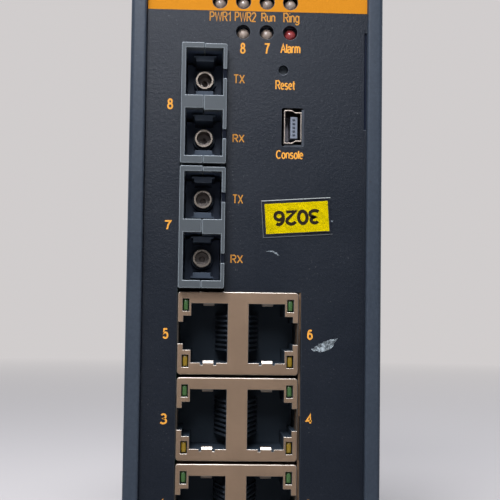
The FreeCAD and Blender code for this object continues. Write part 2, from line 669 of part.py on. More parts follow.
def rail_latch():
    """The sliding latch: a T-section plate with the lower hook, a window for the spring and a
    tail with a slot for a screwdriver."""
    low = RAIL_BOTTOM - HOOK_CLEARANCE - HOOK_ROOT - LATCH_TAIL
    high = RAIL_BOTTOM + LATCH_RISE
    half = LATCH_WIDTH / 2
    plate = box(-half, half, LATCH_FRONT_Y, LATCH_BACK_Y, low, high)
    plate = plate.makeFillet(LATCH_TAIL_RADIUS,
                             edges_along(plate, V(0, 1, 0), lambda m: m.z < low + 0.1))
    wings = box(-half - LATCH_WING, half + LATCH_WING, LATCH_FRONT_Y,
                LATCH_FRONT_Y + LATCH_WING_THICKNESS, low + LATCH_TAIL / 2, high)
    root_high = RAIL_BOTTOM - HOOK_CLEARANCE
    root_low = root_high - HOOK_ROOT
    lip_top = RAIL_BOTTOM + LATCH_LIP
    hook = [(LATCH_BACK_Y - 0.5, root_low), (HOOK_OUTER_Y - 1.2, root_low), (HOOK_OUTER_Y, root_low + 1.2),
            (HOOK_OUTER_Y, root_high), (HOOK_INNER_Y + 0.5, lip_top), (HOOK_INNER_Y, lip_top),
            (HOOK_INNER_Y, root_high), (LATCH_BACK_Y - 0.5, root_high)]
    latch = union([plate, wings, prism(hook, -half, half, "X")])
    window_half = SPRING_WINDOW_WIDTH / 2
    window = box(-window_half, window_half, LATCH_FRONT_Y - 1, LATCH_BACK_Y + 1,
                 RAIL_BOTTOM + SPRING_WINDOW_BOTTOM, SPRING_TOP)
    slot_low = low + PULL_SLOT_HEIGHT
    slot = rounded_block(-PULL_SLOT_WIDTH / 2, PULL_SLOT_WIDTH / 2, LATCH_FRONT_Y - 1, LATCH_BACK_Y + 1,
                         slot_low, slot_low + PULL_SLOT_HEIGHT, 1.0, V(0, 1, 0))
    return cut(latch, [window, slot])


def latch_spring():
    """The compression spring between the base's post and the top of the latch's window."""
    run = SPRING_LENGTH - 2 * SPRING_WIRE_RADIUS
    start = V(SPRING_RADIUS, 0, 0)
    path = Part.makeHelix(run / SPRING_TURNS, run, SPRING_RADIUS)
    corners = [start + V(SPRING_WIRE_RADIUS * math.cos(math.radians(90 * i)), 0,
                         SPRING_WIRE_RADIUS * math.sin(math.radians(90 * i))) for i in range(4)]
    section = Part.makePolygon(corners + corners[:1])
    coil = Part.Wire(path).makePipeShell([section], True, True)
    return moved(coil, 0, SPRING_Y, SPRING_BOTTOM + SPRING_WIRE_RADIUS)


def rail_clip_screws():
    """The four countersunk screws that hold the clip base to the back panel."""
    screw = countersunk_screw(CLIP_SCREW_LENGTH, M3_RADIUS, M3_HEAD_RADIUS)
    screw = turned(screw, V(1, 0, 0), -90)
    return group([moved(screw, x, RAIL_SEAT_Y, z) for x, z in CLIP_SCREW_PLACES])


def rail_clip_nuts():
    """The clinch nuts behind the back panel that the clip screws turn into."""
    nuts = []
    for x, z in CLIP_SCREW_PLACES:
        ring = rod_y(x, z, CLINCH_NUT_RADIUS, BACK_PANEL_INNER_Y - CLINCH_NUT_HEIGHT, BACK_PANEL_INNER_Y)
        bore = rod_y(x, z, M3_RADIUS, BACK_PANEL_INNER_Y - CLINCH_NUT_HEIGHT - 1, BACK_PANEL_INNER_Y + 1)
        nuts.append(cut(ring, [bore]))
    return group(nuts)


# Pluggable terminal

def header_pins():
    """The header's bent pins: up into the plug, and sideways through the power board."""
    half = PIN_WIDTH / 2
    mid_z = (HEADER_BOTTOM + HEADER_FLOOR_Z) / 2
    tip = HEADER_FLOOR_Z + PIN_HEIGHT
    pins = []
    for y in POLE_Y:
        upright = box(HEADER_X - half, HEADER_X + half, y - half, y + half, mid_z - half, tip)
        leg = box(HEADER_X - half, POWER_BOARD_BACK_X + 1.2, y - half, y + half,
                  mid_z - half, mid_z + half)
        pins.append(union([upright, leg]))
    return group(pins)


def terminal_header():
    """The open-topped header in the top plate, moulded around its pins."""
    half_length = HEADER_LENGTH / 2
    block = box(HEADER_LEFT_X, HEADER_RIGHT_X, HEADER_Y - half_length, HEADER_Y + half_length,
                HEADER_BOTTOM, HEADER_TOP)
    cavity = box(HEADER_LEFT_X + HEADER_WALL, HEADER_RIGHT_X - HEADER_WALL,
                 HEADER_Y - half_length + HEADER_WALL, HEADER_Y + half_length - HEADER_WALL,
                 HEADER_FLOOR_Z, HEADER_TOP + 1)
    return cut(block, [cavity, header_pins()])


def terminal_cavities():
    """The wire entries, screw holes and pin sockets of the terminal plug."""
    cavities = []
    for y in POLE_Y:
        cavities.append(box(WIRE_ENTRY_X - WIRE_ENTRY_WIDTH / 2, WIRE_ENTRY_X + WIRE_ENTRY_WIDTH / 2,
                            y - WIRE_ENTRY_LENGTH / 2, y + WIRE_ENTRY_LENGTH / 2,
                            PLUG_TOP - WIRE_ENTRY_DEPTH, PLUG_TOP + 1))
        cavities.append(rod_z(TERMINAL_SCREW_X, y, TERMINAL_SCREW_RADIUS,
                              PLUG_TOP - TERMINAL_SCREW_RECESS - TERMINAL_SCREW_LENGTH, PLUG_TOP + 1))
        cavities.append(box(HEADER_X - SOCKET_WIDTH / 2, HEADER_X + SOCKET_WIDTH / 2,
                            y - SOCKET_WIDTH / 2, y + SOCKET_WIDTH / 2,
                            PLUG_BOTTOM - 1, HEADER_FLOOR_Z + PIN_HEIGHT + 0.5))
    return cavities


def terminal_plug():
    """The plug's body, with a shallow groove between its poles."""
    half = POLE_COUNT * POLE_PITCH / 2 - PLUG_PLAY
    body = box(PLUG_LEFT_X, PLUG_RIGHT_X, HEADER_Y - half, HEADER_Y + half, PLUG_BOTTOM, PLUG_TOP)
    body = body.makeChamfer(0.6, edges_along(body, V(0, 1, 0), lambda m: m.z > PLUG_TOP - 0.1))
    grooves = []
    for y in POLE_Y[:-1]:
        middle = y + POLE_PITCH / 2
        for x in (PLUG_LEFT_X, PLUG_RIGHT_X):
            grooves.append(box(x - 0.4, x + 0.4, middle - 0.25, middle + 0.25, HEADER_TOP, PLUG_TOP + 1))
    return cut(body, terminal_cavities() + grooves)


def terminal_screws():
    """The slotted clamping screws in the plug."""
    top = PLUG_TOP - TERMINAL_SCREW_RECESS
    screws = []
    for y in POLE_Y:
        screw = rod_z(TERMINAL_SCREW_X, y, TERMINAL_SCREW_RADIUS, top - TERMINAL_SCREW_LENGTH, top)
        slot = box(TERMINAL_SCREW_X - 2, TERMINAL_SCREW_X + 2, y - TERMINAL_SLOT_WIDTH / 2,
                   y + TERMINAL_SLOT_WIDTH / 2, top - TERMINAL_SLOT_DEPTH, top + 1)
        screws.append(cut(screw, [slot]))
    return group(screws)


def terminal_clamps():
    """The metal clamps at the bottom of the wire entries."""
    low = PLUG_TOP - WIRE_ENTRY_DEPTH
    clamps = []
    for y in POLE_Y:
        outer = box(WIRE_ENTRY_X - WIRE_ENTRY_WIDTH / 2, WIRE_ENTRY_X + WIRE_ENTRY_WIDTH / 2,
                    y - WIRE_ENTRY_LENGTH / 2, y + WIRE_ENTRY_LENGTH / 2, low, low + CLAMP_HEIGHT)
        inner = box(WIRE_ENTRY_X - WIRE_ENTRY_WIDTH / 2 + 0.4, WIRE_ENTRY_X + WIRE_ENTRY_WIDTH / 2 - 0.4,
                    y - WIRE_ENTRY_LENGTH / 2 + 0.4, y + WIRE_ENTRY_LENGTH / 2 - 0.4,
                    low + 0.6, low + CLAMP_HEIGHT + 1)
        clamps.append(cut(outer, [inner]))
    return group(clamps)


# Boards

def main_board():
    """The main board, upright on the left side's spacers."""
    board = box(MAIN_BOARD_BACK_X, MAIN_BOARD_X, MAIN_BOARD_FRONT_Y, MAIN_BOARD_REAR_Y,
                BOARD_BOTTOM, BOARD_TOP)
    holes = [rod_x(y, z, M3_HOLE_RADIUS, MAIN_BOARD_BACK_X - 1, MAIN_BOARD_X + 1)
             for y in MAIN_SPACER_Y for z in MAIN_SPACER_Z]
    return cut(board, holes)


def power_board():
    """The power board, upright on the right side's spacers."""
    board = box(POWER_BOARD_X, POWER_BOARD_BACK_X, POWER_BOARD_FRONT_Y, POWER_BOARD_REAR_Y,
                POWER_BOARD_BOTTOM, BOARD_TOP)
    holes = [rod_x(y, z, M3_HOLE_RADIUS, POWER_BOARD_X - 1, POWER_BOARD_BACK_X + 1)
             for y in POWER_SPACER_Y for z in POWER_SPACER_Z]
    return cut(board, holes + [header_pins()])


def indicator_board():
    """The L-shaped board behind the panel, tabbed onto the main board's face."""
    top = UPPER_LED_Z + INDICATOR_BOARD_TOP
    step_z = OPTICS_TOP + 0.6
    low = CONSOLE_Z - CONSOLE_HEIGHT / 2 - 2
    outline = [(MAIN_BOARD_X, step_z), (OPTIC_RIGHT_X + 1, step_z), (OPTIC_RIGHT_X + 1, low),
               (INDICATOR_BOARD_RIGHT_X, low), (INDICATOR_BOARD_RIGHT_X, top), (MAIN_BOARD_X, top)]
    return prism(outline, INDICATOR_BOARD_Y, INDICATOR_BOARD_Y + BOARD_THICKNESS, "Y")


def link_board():
    """The board at the rear that joins the main board and the power board."""
    rear = POWER_BOARD_REAR_Y - LINK_BOARD_FROM_REAR
    low = POWER_SPACER_Z[0] + M3_HEAD_RADIUS + 1
    return box(MAIN_BOARD_X, POWER_BOARD_X, rear, rear + BOARD_THICKNESS, low, low + LINK_BOARD_HEIGHT)


def hexagon_bar(y, z, x0, x1):
    """A hexagonal bar along X."""
    corners = [(y + SPACER_RADIUS * math.cos(math.radians(60 * i)),
                z + SPACER_RADIUS * math.sin(math.radians(60 * i))) for i in range(6)]
    return prism(corners, x0, x1, "X")


def board_spacers():
    """The hexagonal spacers of both boards, each with its threaded bore."""
    spacers = []
    for y in MAIN_SPACER_Y:
        for z in MAIN_SPACER_Z:
            bar = hexagon_bar(y, z, -WEB_INNER_X, MAIN_BOARD_BACK_X)
            spacers.append(cut(bar, [rod_x(y, z, M3_RADIUS, -WEB_INNER_X + 1, MAIN_BOARD_BACK_X + 1)]))
    for y in POWER_SPACER_Y:
        for z in POWER_SPACER_Z:
            bar = hexagon_bar(y, z, POWER_BOARD_BACK_X, WEB_INNER_X)
            spacers.append(cut(bar, [rod_x(y, z, M3_RADIUS, POWER_BOARD_BACK_X - 1, WEB_INNER_X - 1)]))
    return group(spacers)


def board_screws():
    """The screws that hold both boards to their spacers."""
    screw = union([rod_z(0, 0, M3_HEAD_RADIUS, 0, M3_PAN_HEIGHT),
                   rod_z(0, 0, M3_RADIUS, -BOARD_SCREW_LENGTH, 0)])
    rightward = turned(screw, V(0, 1, 0), 90)
    leftward = turned(screw, V(0, 1, 0), -90)
    screws = [moved(rightward, MAIN_BOARD_X, y, z) for y in MAIN_SPACER_Y for z in MAIN_SPACER_Z]
    screws += [moved(leftward, POWER_BOARD_X, y, z) for y in POWER_SPACER_Y for z in POWER_SPACER_Z]
    return group(screws)


# Two-port jacks. Each is made at its place with its top edge at z = top.

def jack_middle_x():
    return MAIN_BOARD_X + JACK_WIDTH / 2


def port_outline(top, side, grow=0.0):
    """The outline of one port: the plug's opening with the latch step and notch outwards.
    side is -1 for the left port and 1 for the right one."""
    middle_z = top - JACK_HEIGHT / 2
    inner = jack_middle_x() + side * (SPINE_WIDTH / 2 - grow)
    outer = jack_middle_x() + side * (SPINE_WIDTH / 2 + PORT_WIDTH + grow)
    step = outer + side * STEP_WIDTH
    notch = step + side * NOTCH_WIDTH
    half = PORT_HEIGHT / 2 + grow
    step_half = STEP_HEIGHT / 2 + grow
    notch_half = NOTCH_HEIGHT / 2 + grow
    rises = [(inner, half), (outer, half), (outer, step_half), (step, step_half),
             (step, notch_half), (notch, notch_half)]
    upper = [(x, middle_z + rise) for x, rise in rises]
    lower = [(x, middle_z - rise) for x, rise in reversed(rises)]
    return upper + lower


def port_openings(top, y0, y1):
    """Solid cores of both ports, between two depths."""
    return [prism(port_outline(top, side), y0, y1, "Y") for side in (-1, 1)]


def window_boxes(top, upper, y0, y1):
    """The two light windows at the jack's upper or lower corners, between two depths."""
    if upper:
        high = top - WINDOW_END
    else:
        high = top - JACK_HEIGHT + WINDOW_END + WINDOW_HEIGHT
    left = MAIN_BOARD_X + WINDOW_EDGE
    right = JACK_RIGHT_X - WINDOW_EDGE
    return [box(left, left + WINDOW_WIDTH, y0, y1, high - WINDOW_HEIGHT, high),
            box(right - WINDOW_WIDTH, right, y0, y1, high - WINDOW_HEIGHT, high)]


def shield_tab(middle_x, edge_z, inward):
    """One spring tab bent from the shield's face into a port. inward is the way in along Z."""
    front = PANEL_Y - JACK_PROUD
    root = edge_z - inward * TAB_ROOT
    high = edge_z + inward * TAB_REACH
    skin = inward * TAB_THICKNESS
    crest = front + TAB_RAMP
    tip = front + TAB_LENGTH
    back = front + SHIELD_THICKNESS
    outline = [(front, root), (front, edge_z), (crest, high), (tip, edge_z + skin * 1.2),
               (tip, edge_z + skin * 0.2), (crest + SHIELD_THICKNESS, high - skin),
               (back, edge_z + skin * 0.1), (back, root)]
    half = TAB_WIDTH / 2
    return prism(outline, middle_x - half, middle_x + half, "X")


def jack_shield(top):
    """The folded metal shield: a closed can with two port openings, four window holes, spring
    tabs at the ports' ends and a spring finger on its right side."""
    front = PANEL_Y - JACK_PROUD
    rear = front + JACK_DEPTH
    bottom = top - JACK_HEIGHT
    can = rounded_block(MAIN_BOARD_X, JACK_RIGHT_X, front, rear, bottom, top, SHIELD_RADIUS, V(0, 1, 0))
    rim = [edge for edge in can.Edges if abs(edge.CenterOfMass.y - front) < 1e-6]
    can = can.makeFillet(SHIELD_BEND, rim)
    wall = SHIELD_THICKNESS
    hollow = rounded_block(MAIN_BOARD_X + wall, JACK_RIGHT_X - wall, front + wall, rear - wall,
                           bottom + wall, top - wall, SHIELD_RADIUS - wall, V(0, 1, 0))
    tools = [hollow] + port_openings(top, front - 1, front + wall + 0.01)
    tools += window_boxes(top, True, front - 1, front + wall + 0.01)
    tools += window_boxes(top, False, front - 1, front + wall + 0.01)
    tabs = []
    half = TAB_WIDTH / 2
    for side in (-1, 1):
        middle = jack_middle_x() + side * (SPINE_WIDTH / 2 + PORT_WIDTH / 2 + TAB_SHIFT)
        for inward in (-1, 1):
            edge_z = top - JACK_HEIGHT / 2 - inward * PORT_HEIGHT / 2
            tabs.append(shield_tab(middle, edge_z, inward))
        lower_edge = top - JACK_HEIGHT / 2 - PORT_HEIGHT / 2
        for left in (middle - half - TAB_SLIT, middle + half):
            tools.append(box(left, left + TAB_SLIT, front - 1, front + wall + 0.01,
                             lower_edge - TAB_SLIT_DEPTH, lower_edge + 0.1))
    shell = cut(can, tools)
    finger_x = JACK_RIGHT_X + SIDE_FINGER_OFFSET
    finger_high = bottom + SIDE_FINGER_HEIGHT + 0.4
    finger = [(finger_x, front + 0.5), (finger_x + SIDE_FINGER_THICKNESS, front + 0.5),
              (finger_x + SIDE_FINGER_THICKNESS, front + SIDE_FINGER_LENGTH * 0.7),
              (JACK_RIGHT_X, front + SIDE_FINGER_LENGTH), (JACK_RIGHT_X - wall / 2, front + SIDE_FINGER_LENGTH),
              (JACK_RIGHT_X - wall / 2, front + SIDE_FINGER_LENGTH - 0.6),
              (JACK_RIGHT_X, front + SIDE_FINGER_LENGTH - 0.6),
              (finger_x, front + SIDE_FINGER_LENGTH * 0.65)]
    return union([shell] + tabs + [prism(finger, bottom + 0.4, finger_high, "Z")])


def contact_outline(side):
    """The bent outline of one contact wire, seen along Z, on the spine's side of a port."""
    wall = jack_middle_x() + side * SPINE_WIDTH / 2
    start = PANEL_Y - JACK_PROUD + CONTACT_START
    end = PANEL_Y - JACK_PROUD + CONTACT_END
    rise = side * CONTACT_RISE
    skin = side * CONTACT_THICKNESS
    return [(wall, start), (wall + skin, start), (wall + rise + skin, end - 1.5),
            (wall + rise + skin, end), (wall + rise, end), (wall + rise, end - 1.2), (wall, start + 1.2)]


def jack_contacts(top):
    """The eight contact wires of each port. Their ends reach the back of the port."""
    wires = []
    back = PANEL_Y - JACK_PROUD + PORT_DEPTH
    for side in (-1, 1):
        wall = jack_middle_x() + side * SPINE_WIDTH / 2
        for i in range(8):
            z = top - JACK_HEIGHT / 2 + (i - 3.5) * CONTACT_PITCH
            half = CONTACT_WIDTH / 2
            wire = prism(contact_outline(side), z - half, z + half, "Z")
            ends = sorted((wall + side * CONTACT_RISE, wall + side * (CONTACT_RISE + CONTACT_THICKNESS)))
            tail = box(ends[0], ends[1], PANEL_Y - JACK_PROUD + CONTACT_END - 0.2, back,
                       z - half, z + half)
            wires.append(union([wire, tail]))
    return group(wires)


def jack_housing(top):
    """The plastic body inside the shield, with both ports and the wells of the windows."""
    front = PANEL_Y - JACK_PROUD
    wall = SHIELD_THICKNESS
    body = rounded_block(MAIN_BOARD_X + wall, JACK_RIGHT_X - wall, front + wall,
                         front + JACK_DEPTH - wall, top - JACK_HEIGHT + wall, top - wall,
                         SHIELD_RADIUS, V(0, 1, 0))
    tools = port_openings(top, front - 1, front + PORT_DEPTH)
    tools += window_boxes(top, True, front - 1, front + WINDOW_DEPTH)
    tools += window_boxes(top, False, front - 1, front + WINDOW_DEPTH)
    return cut(body, tools)


def jack_tops():
    """The top edges of the jacks, from the upper one down."""
    return [JACKS_TOP - i * JACK_PITCH for i in range(JACK_COUNT)]


def jack_windows(upper):
    """All light windows of one colour."""
    front = PANEL_Y - JACK_PROUD
    windows = []
    for top in jack_tops():
        windows += window_boxes(top, upper, front + WINDOW_RECESS, front + WINDOW_DEPTH)
    return group(windows)


# Fibre transceivers. Each is made at its place with its top edge at z = top.

def optic_bay_middles(top):
    """The heights of both bays' middles."""
    first = top - BAY_TOP_WALL - BAY_HEIGHT / 2
    return [first, first - BAY_PITCH]


def optic_bay_x():
    """The left and right walls of the bays."""
    left = MAIN_BOARD_X + BAY_LEFT_WALL
    return left, left + BAY_WIDTH


def optic_shell(top, side):
    """One moulded half of a transceiver's shell, split down the middle of its width. The right
    half sits a little lower and has the key slots. side is -1 for the left half, 1 for the right."""
    front = PANEL_Y - OPTIC_PROUD
    rear = front + OPTIC_DEPTH
    seam = MAIN_BOARD_X + OPTIC_WIDTH / 2
    if side < 0:
        x0, x1, drop = MAIN_BOARD_X, seam - SEAM_GAP / 2, 0.0
    else:
        x0, x1, drop = seam + SEAM_GAP / 2, OPTIC_RIGHT_X, SEAM_DROP
    block = box(x0, x1, front, rear, top - OPTIC_HEIGHT, top - drop)
    corner_x = x0 if side < 0 else x1
    block = block.makeFillet(OPTIC_RADIUS,
                             edges_along(block, V(0, 1, 0), lambda m: abs(m.x - corner_x) < 0.1))
    bay_left, bay_right = optic_bay_x()
    tools = []
    for middle in optic_bay_middles(top):
        low = middle - BAY_HEIGHT / 2
        high = low + BAY_HEIGHT
        if side > 0 and middle < top - OPTIC_HEIGHT / 2:
            high -= CEILING_DROP
        tools.append(box(bay_left, bay_right, front - 1, front + BAY_DEPTH, low, high))
        if side > 0:
            slot = middle - KEY_SLOT_DROP
            tools.append(box(bay_right - 0.5, OPTIC_RIGHT_X + 1, front - 1, front + KEY_SLOT_DEPTH,
                             slot - KEY_SLOT_HEIGHT / 2, slot + KEY_SLOT_HEIGHT / 2))
    return cut(block, tools)


def optic_adapters(top):
    """The latch arms and hubs in both bays, each standing on its own plate at the bay's back."""
    front = PANEL_Y - OPTIC_PROUD
    back = front + BAY_DEPTH
    plate_front = back - ADAPTER_THICKNESS
    bay_left, bay_right = optic_bay_x()
    middle_x = (bay_left + bay_right) / 2
    adapters = []
    for middle in optic_bay_middles(top):
        half_height = BAY_HEIGHT / 2 - ARM_WALL_GAP
        pieces = [box(bay_left + 0.1, bay_right - 0.1, plate_front, back,
                      middle - half_height, middle + half_height)]
        pieces.append(rod_y(middle_x, middle, ADAPTER_HUB_RADIUS,
                            plate_front - ADAPTER_HUB_LENGTH, plate_front + 0.1))
        for way in (-1, 1):
            outer = middle + way * half_height
            flange_inner = outer - way * ARM_FLANGE_THICKNESS
            arm_inner = flange_inner - way * ARM_THICKNESS
            flange_z = sorted((outer, flange_inner))
            arm_z = sorted((outer, arm_inner))
            pieces.append(box(middle_x - ARM_FLANGE_WIDTH / 2, middle_x + ARM_FLANGE_WIDTH / 2,
                              front + ARM_SETBACK, plate_front + 0.1, flange_z[0], flange_z[1]))
            pieces.append(box(middle_x - ARM_WIDTH / 2, middle_x + ARM_WIDTH / 2,
                              front + ARM_SETBACK, plate_front + 0.1, arm_z[0], arm_z[1]))
        bore = rod_y(middle_x, middle, SLEEVE_RADIUS, front, back + 1)
        adapters.append(cut(union(pieces), [bore]))
    return group(adapters)


def optic_sleeves(top):
    """The ferrule sleeves: tubes in the hubs, closed at the back around the fibre's hole."""
    front = PANEL_Y - OPTIC_PROUD
    back = front + BAY_DEPTH
    bay_left, bay_right = optic_bay_x()
    middle_x = (bay_left + bay_right) / 2
    sleeves = []
    for middle in optic_bay_middles(top):
        tube = rod_y(middle_x, middle, SLEEVE_RADIUS, front + SLEEVE_SETBACK, back)
        bore = rod_y(middle_x, middle, SLEEVE_BORE_RADIUS, front, back - SLEEVE_FLOOR)
        fibre = rod_y(middle_x, middle, FIBRE_HOLE_RADIUS, front, back - 1)
        sleeves.append(cut(tube, [bore, fibre]))
    return group(sleeves)


def optic_tops():
    """The top edges of the transceivers, from the upper one down."""
    return [OPTICS_TOP - i * OPTIC_PITCH for i in range(OPTIC_COUNT)]


# Console port, reset button and indicators

def console_outline(inset):
    """The outline of the mini USB shell, seen from the front, with its narrower right part."""
    left = CONSOLE_PLACE_X - CONSOLE_WIDTH / 2 + inset
    right = CONSOLE_PLACE_X + CONSOLE_WIDTH / 2 - inset
    bend = CONSOLE_PLACE_X - CONSOLE_WIDTH / 2 + CONSOLE_STEP_WIDTH
    half = CONSOLE_HEIGHT / 2 - inset
    narrow = half - CONSOLE_STEP
    upper = [(left, half), (bend, half), (bend + CONSOLE_SLOPE, narrow), (right, narrow)]
    lower = [(x, -rise) for x, rise in reversed(upper)]
    return [(x, CONSOLE_Z + rise) for x, rise in upper + lower]


def console_shell():
    """The console port's folded metal shell, standing on the indicator board."""
    front = PANEL_Y - CONSOLE_PROUD
    outer = prism(console_outline(0.0), front, INDICATOR_BOARD_Y, "Y")
    inner = prism(console_outline(CONSOLE_WALL), front - 1, INDICATOR_BOARD_Y - CONSOLE_WALL, "Y")
    return cut(outer, [inner])


def tongue_x():
    """The left and right faces of the console's tongue."""
    middle = CONSOLE_PLACE_X + TONGUE_SHIFT
    return middle - TONGUE_WIDTH / 2, middle + TONGUE_WIDTH / 2


def console_contacts():
    """The console's contact strips, set into its tongue."""
    left, right = tongue_x()
    middle = (left + right) / 2
    strips = []
    for i in range(CONSOLE_CONTACTS):
        z = CONSOLE_Z + (i - (CONSOLE_CONTACTS - 1) / 2) * CONSOLE_CONTACT_PITCH
        strips.append(box(middle - CONSOLE_CONTACT_THICKNESS / 2, middle + CONSOLE_CONTACT_THICKNESS / 2,
                          PANEL_Y + TONGUE_SETBACK - 0.1, INDICATOR_BOARD_Y - CONSOLE_WALL,
                          z - CONSOLE_CONTACT_WIDTH / 2, z + CONSOLE_CONTACT_WIDTH / 2))
    return group(strips)


def console_tongue():
    """The console's plastic tongue."""
    left, right = tongue_x()
    half = TONGUE_HEIGHT / 2
    tongue = box(left, right, PANEL_Y + TONGUE_SETBACK, INDICATOR_BOARD_Y - CONSOLE_WALL,
                 CONSOLE_Z - half, CONSOLE_Z + half)
    return cut(tongue, [console_contacts()])


def reset_switch_body():
    """The push switch behind the reset hole, with a well for its button."""
    half = RESET_BODY_SIZE / 2
    front = INDICATOR_BOARD_Y - RESET_BODY_HEIGHT
    body = box(RESET_PLACE_X - half, RESET_PLACE_X + half, front, INDICATOR_BOARD_Y,
               RESET_Z - half, RESET_Z + half)
    well = rod_y(RESET_PLACE_X, RESET_Z, RESET_BUTTON_RADIUS + RESET_RUNNING_CLEARANCE,
                 front - 1, INDICATOR_BOARD_Y - 1)
    return cut(body, [well])


def reset_button():
    """The reset button, clear of its well's floor by its travel."""
    rear = INDICATOR_BOARD_Y - 1 - RESET_TRAVEL - RESET_RUNNING_CLEARANCE
    return rod_y(RESET_PLACE_X, RESET_Z, RESET_BUTTON_RADIUS, PANEL_Y + RESET_BUTTON_SETBACK, rear)


def led(x, z):
    """A round indicator lamp on the indicator board, with a flange and a domed end."""
    dome_height = INDICATOR_BOARD_Y - PANEL_Y - LED_SETBACK - LED_RADIUS
    outline = [V(0, 0, 0), V(LED_FLANGE_RADIUS, 0, 0), V(LED_FLANGE_RADIUS, 0, LED_FLANGE_HEIGHT),
               V(LED_RADIUS, 0, LED_FLANGE_HEIGHT)]
    for angle in (0, 45, 90):
        outline.append(V(LED_RADIUS * math.cos(math.radians(angle)), 0,
                         dome_height + LED_RADIUS * math.sin(math.radians(angle))))
    section = Part.Face(Part.makePolygon(outline + outline[:1]))
    lamp = section.revolve(V(0, 0, 0), V(0, 0, 1), 360)
    return moved(turned(lamp, V(1, 0, 0), 90), x, INDICATOR_BOARD_Y, z)


# Label

def label_sheet(width, height, y0, y1):
    """A thin tilted sheet on the panel, at the label's place."""
    sheet = box(-width / 2, width / 2, y0, y1, -height / 2, height / 2)
    sheet = turned(sheet, V(0, 1, 0), -LABEL_TILT)
    return moved(sheet, LABEL_PLACE_X, 0, LABEL_Z)


def label_tape():
    """The tape label on the panel."""
    return label_sheet(LABEL_WIDTH, LABEL_HEIGHT, PANEL_Y - LABEL_THICKNESS, PANEL_Y)


def label_film():
    """The clear film over the label, stuck to the panel around it."""
    film = label_sheet(FILM_WIDTH, FILM_HEIGHT, PANEL_Y - LABEL_THICKNESS - FILM_THICKNESS, PANEL_Y)
    return cut(film, [label_tape()])


# Components on the boards

CHIP_Y = (MAIN_BOARD_FRONT_Y + OPTIC_DEPTH + MAIN_BOARD_REAR_Y) / 2
CHIP_Z = (BOARD_BOTTOM + BOARD_TOP) / 2 - HEATSINK_SIZE


def switch_chip():
    """The switch chip on the main board."""
    half = CHIP_SIZE / 2
    chip = box(MAIN_BOARD_X, MAIN_BOARD_X + CHIP_HEIGHT, CHIP_Y - half, CHIP_Y + half,
               CHIP_Z - half, CHIP_Z + half)
    return chip.makeChamfer(0.4, edges_along(chip, V(0, 0, 1), lambda m: m.x > MAIN_BOARD_X + 0.5))


def chip_heatsink():
    """The finned heat sink on the switch chip."""
    half = HEATSINK_SIZE / 2
    base_x = MAIN_BOARD_X + CHIP_HEIGHT
    base = box(base_x, base_x + HEATSINK_BASE, CHIP_Y - half, CHIP_Y + half, CHIP_Z - half, CHIP_Z + half)
    pitch = (HEATSINK_SIZE - HEATSINK_FIN_THICKNESS) / (HEATSINK_FINS - 1)
    fins = [box(base_x, base_x + HEATSINK_HEIGHT, CHIP_Y - half + i * pitch,
                CHIP_Y - half + i * pitch + HEATSINK_FIN_THICKNESS, CHIP_Z - half, CHIP_Z + half)
            for i in range(HEATSINK_FINS)]
    return union([base] + fins)


POWER_PARTS_Y = POWER_SPACER_Y[0] + TRANSFORMER_SIZE
POWER_PARTS_Z = (POWER_BOARD_BOTTOM + HEADER_BOTTOM) / 2


def power_transformer():
    """The power transformer: a wound bobbin between two flanges, in its core."""
    half = TRANSFORMER_SIZE / 2
    top_x = POWER_BOARD_X - TRANSFORMER_HEIGHT
    lower = box(POWER_BOARD_X - BOBBIN_FLANGE, POWER_BOARD_X, POWER_PARTS_Y - half, POWER_PARTS_Y + half,
                POWER_PARTS_Z - half, POWER_PARTS_Z + half)
    upper = box(top_x, top_x + BOBBIN_FLANGE, POWER_PARTS_Y - half, POWER_PARTS_Y + half,
                POWER_PARTS_Z - half, POWER_PARTS_Z + half)
    winding = rod_x(POWER_PARTS_Y, POWER_PARTS_Z, half - 1, top_x, POWER_BOARD_X)
    return union([lower, winding, upper])


def power_capacitors():
    """The electrolytic capacitors on the power board."""
    first = POWER_PARTS_Y + TRANSFORMER_SIZE
    cans = []
    for i in range(CAPACITOR_COUNT):
        z = POWER_PARTS_Z + (i - (CAPACITOR_COUNT - 1) / 2) * CAPACITOR_PITCH
        can = rod_x(first, z, CAPACITOR_RADIUS, POWER_BOARD_X - CAPACITOR_HEIGHT, POWER_BOARD_X)
        rims = [edge for edge in can.Edges if len(edge.Vertexes) == 1]
        cans.append(can.makeChamfer(0.4, rims))
    return group(cans)


def alarm_relay():
    """The alarm relay on the power board."""
    y = POWER_PARTS_Y + TRANSFORMER_SIZE + CAPACITOR_PITCH
    relay = box(POWER_BOARD_X - RELAY_HEIGHT, POWER_BOARD_X, y - RELAY_WIDTH / 2, y + RELAY_WIDTH / 2,
                POWER_PARTS_Z - RELAY_LENGTH / 2, POWER_PARTS_Z + RELAY_LENGTH / 2)
    return relay.makeChamfer(0.5, edges_along(relay, V(0, 0, 1), lambda m: m.x < POWER_BOARD_X - 1))


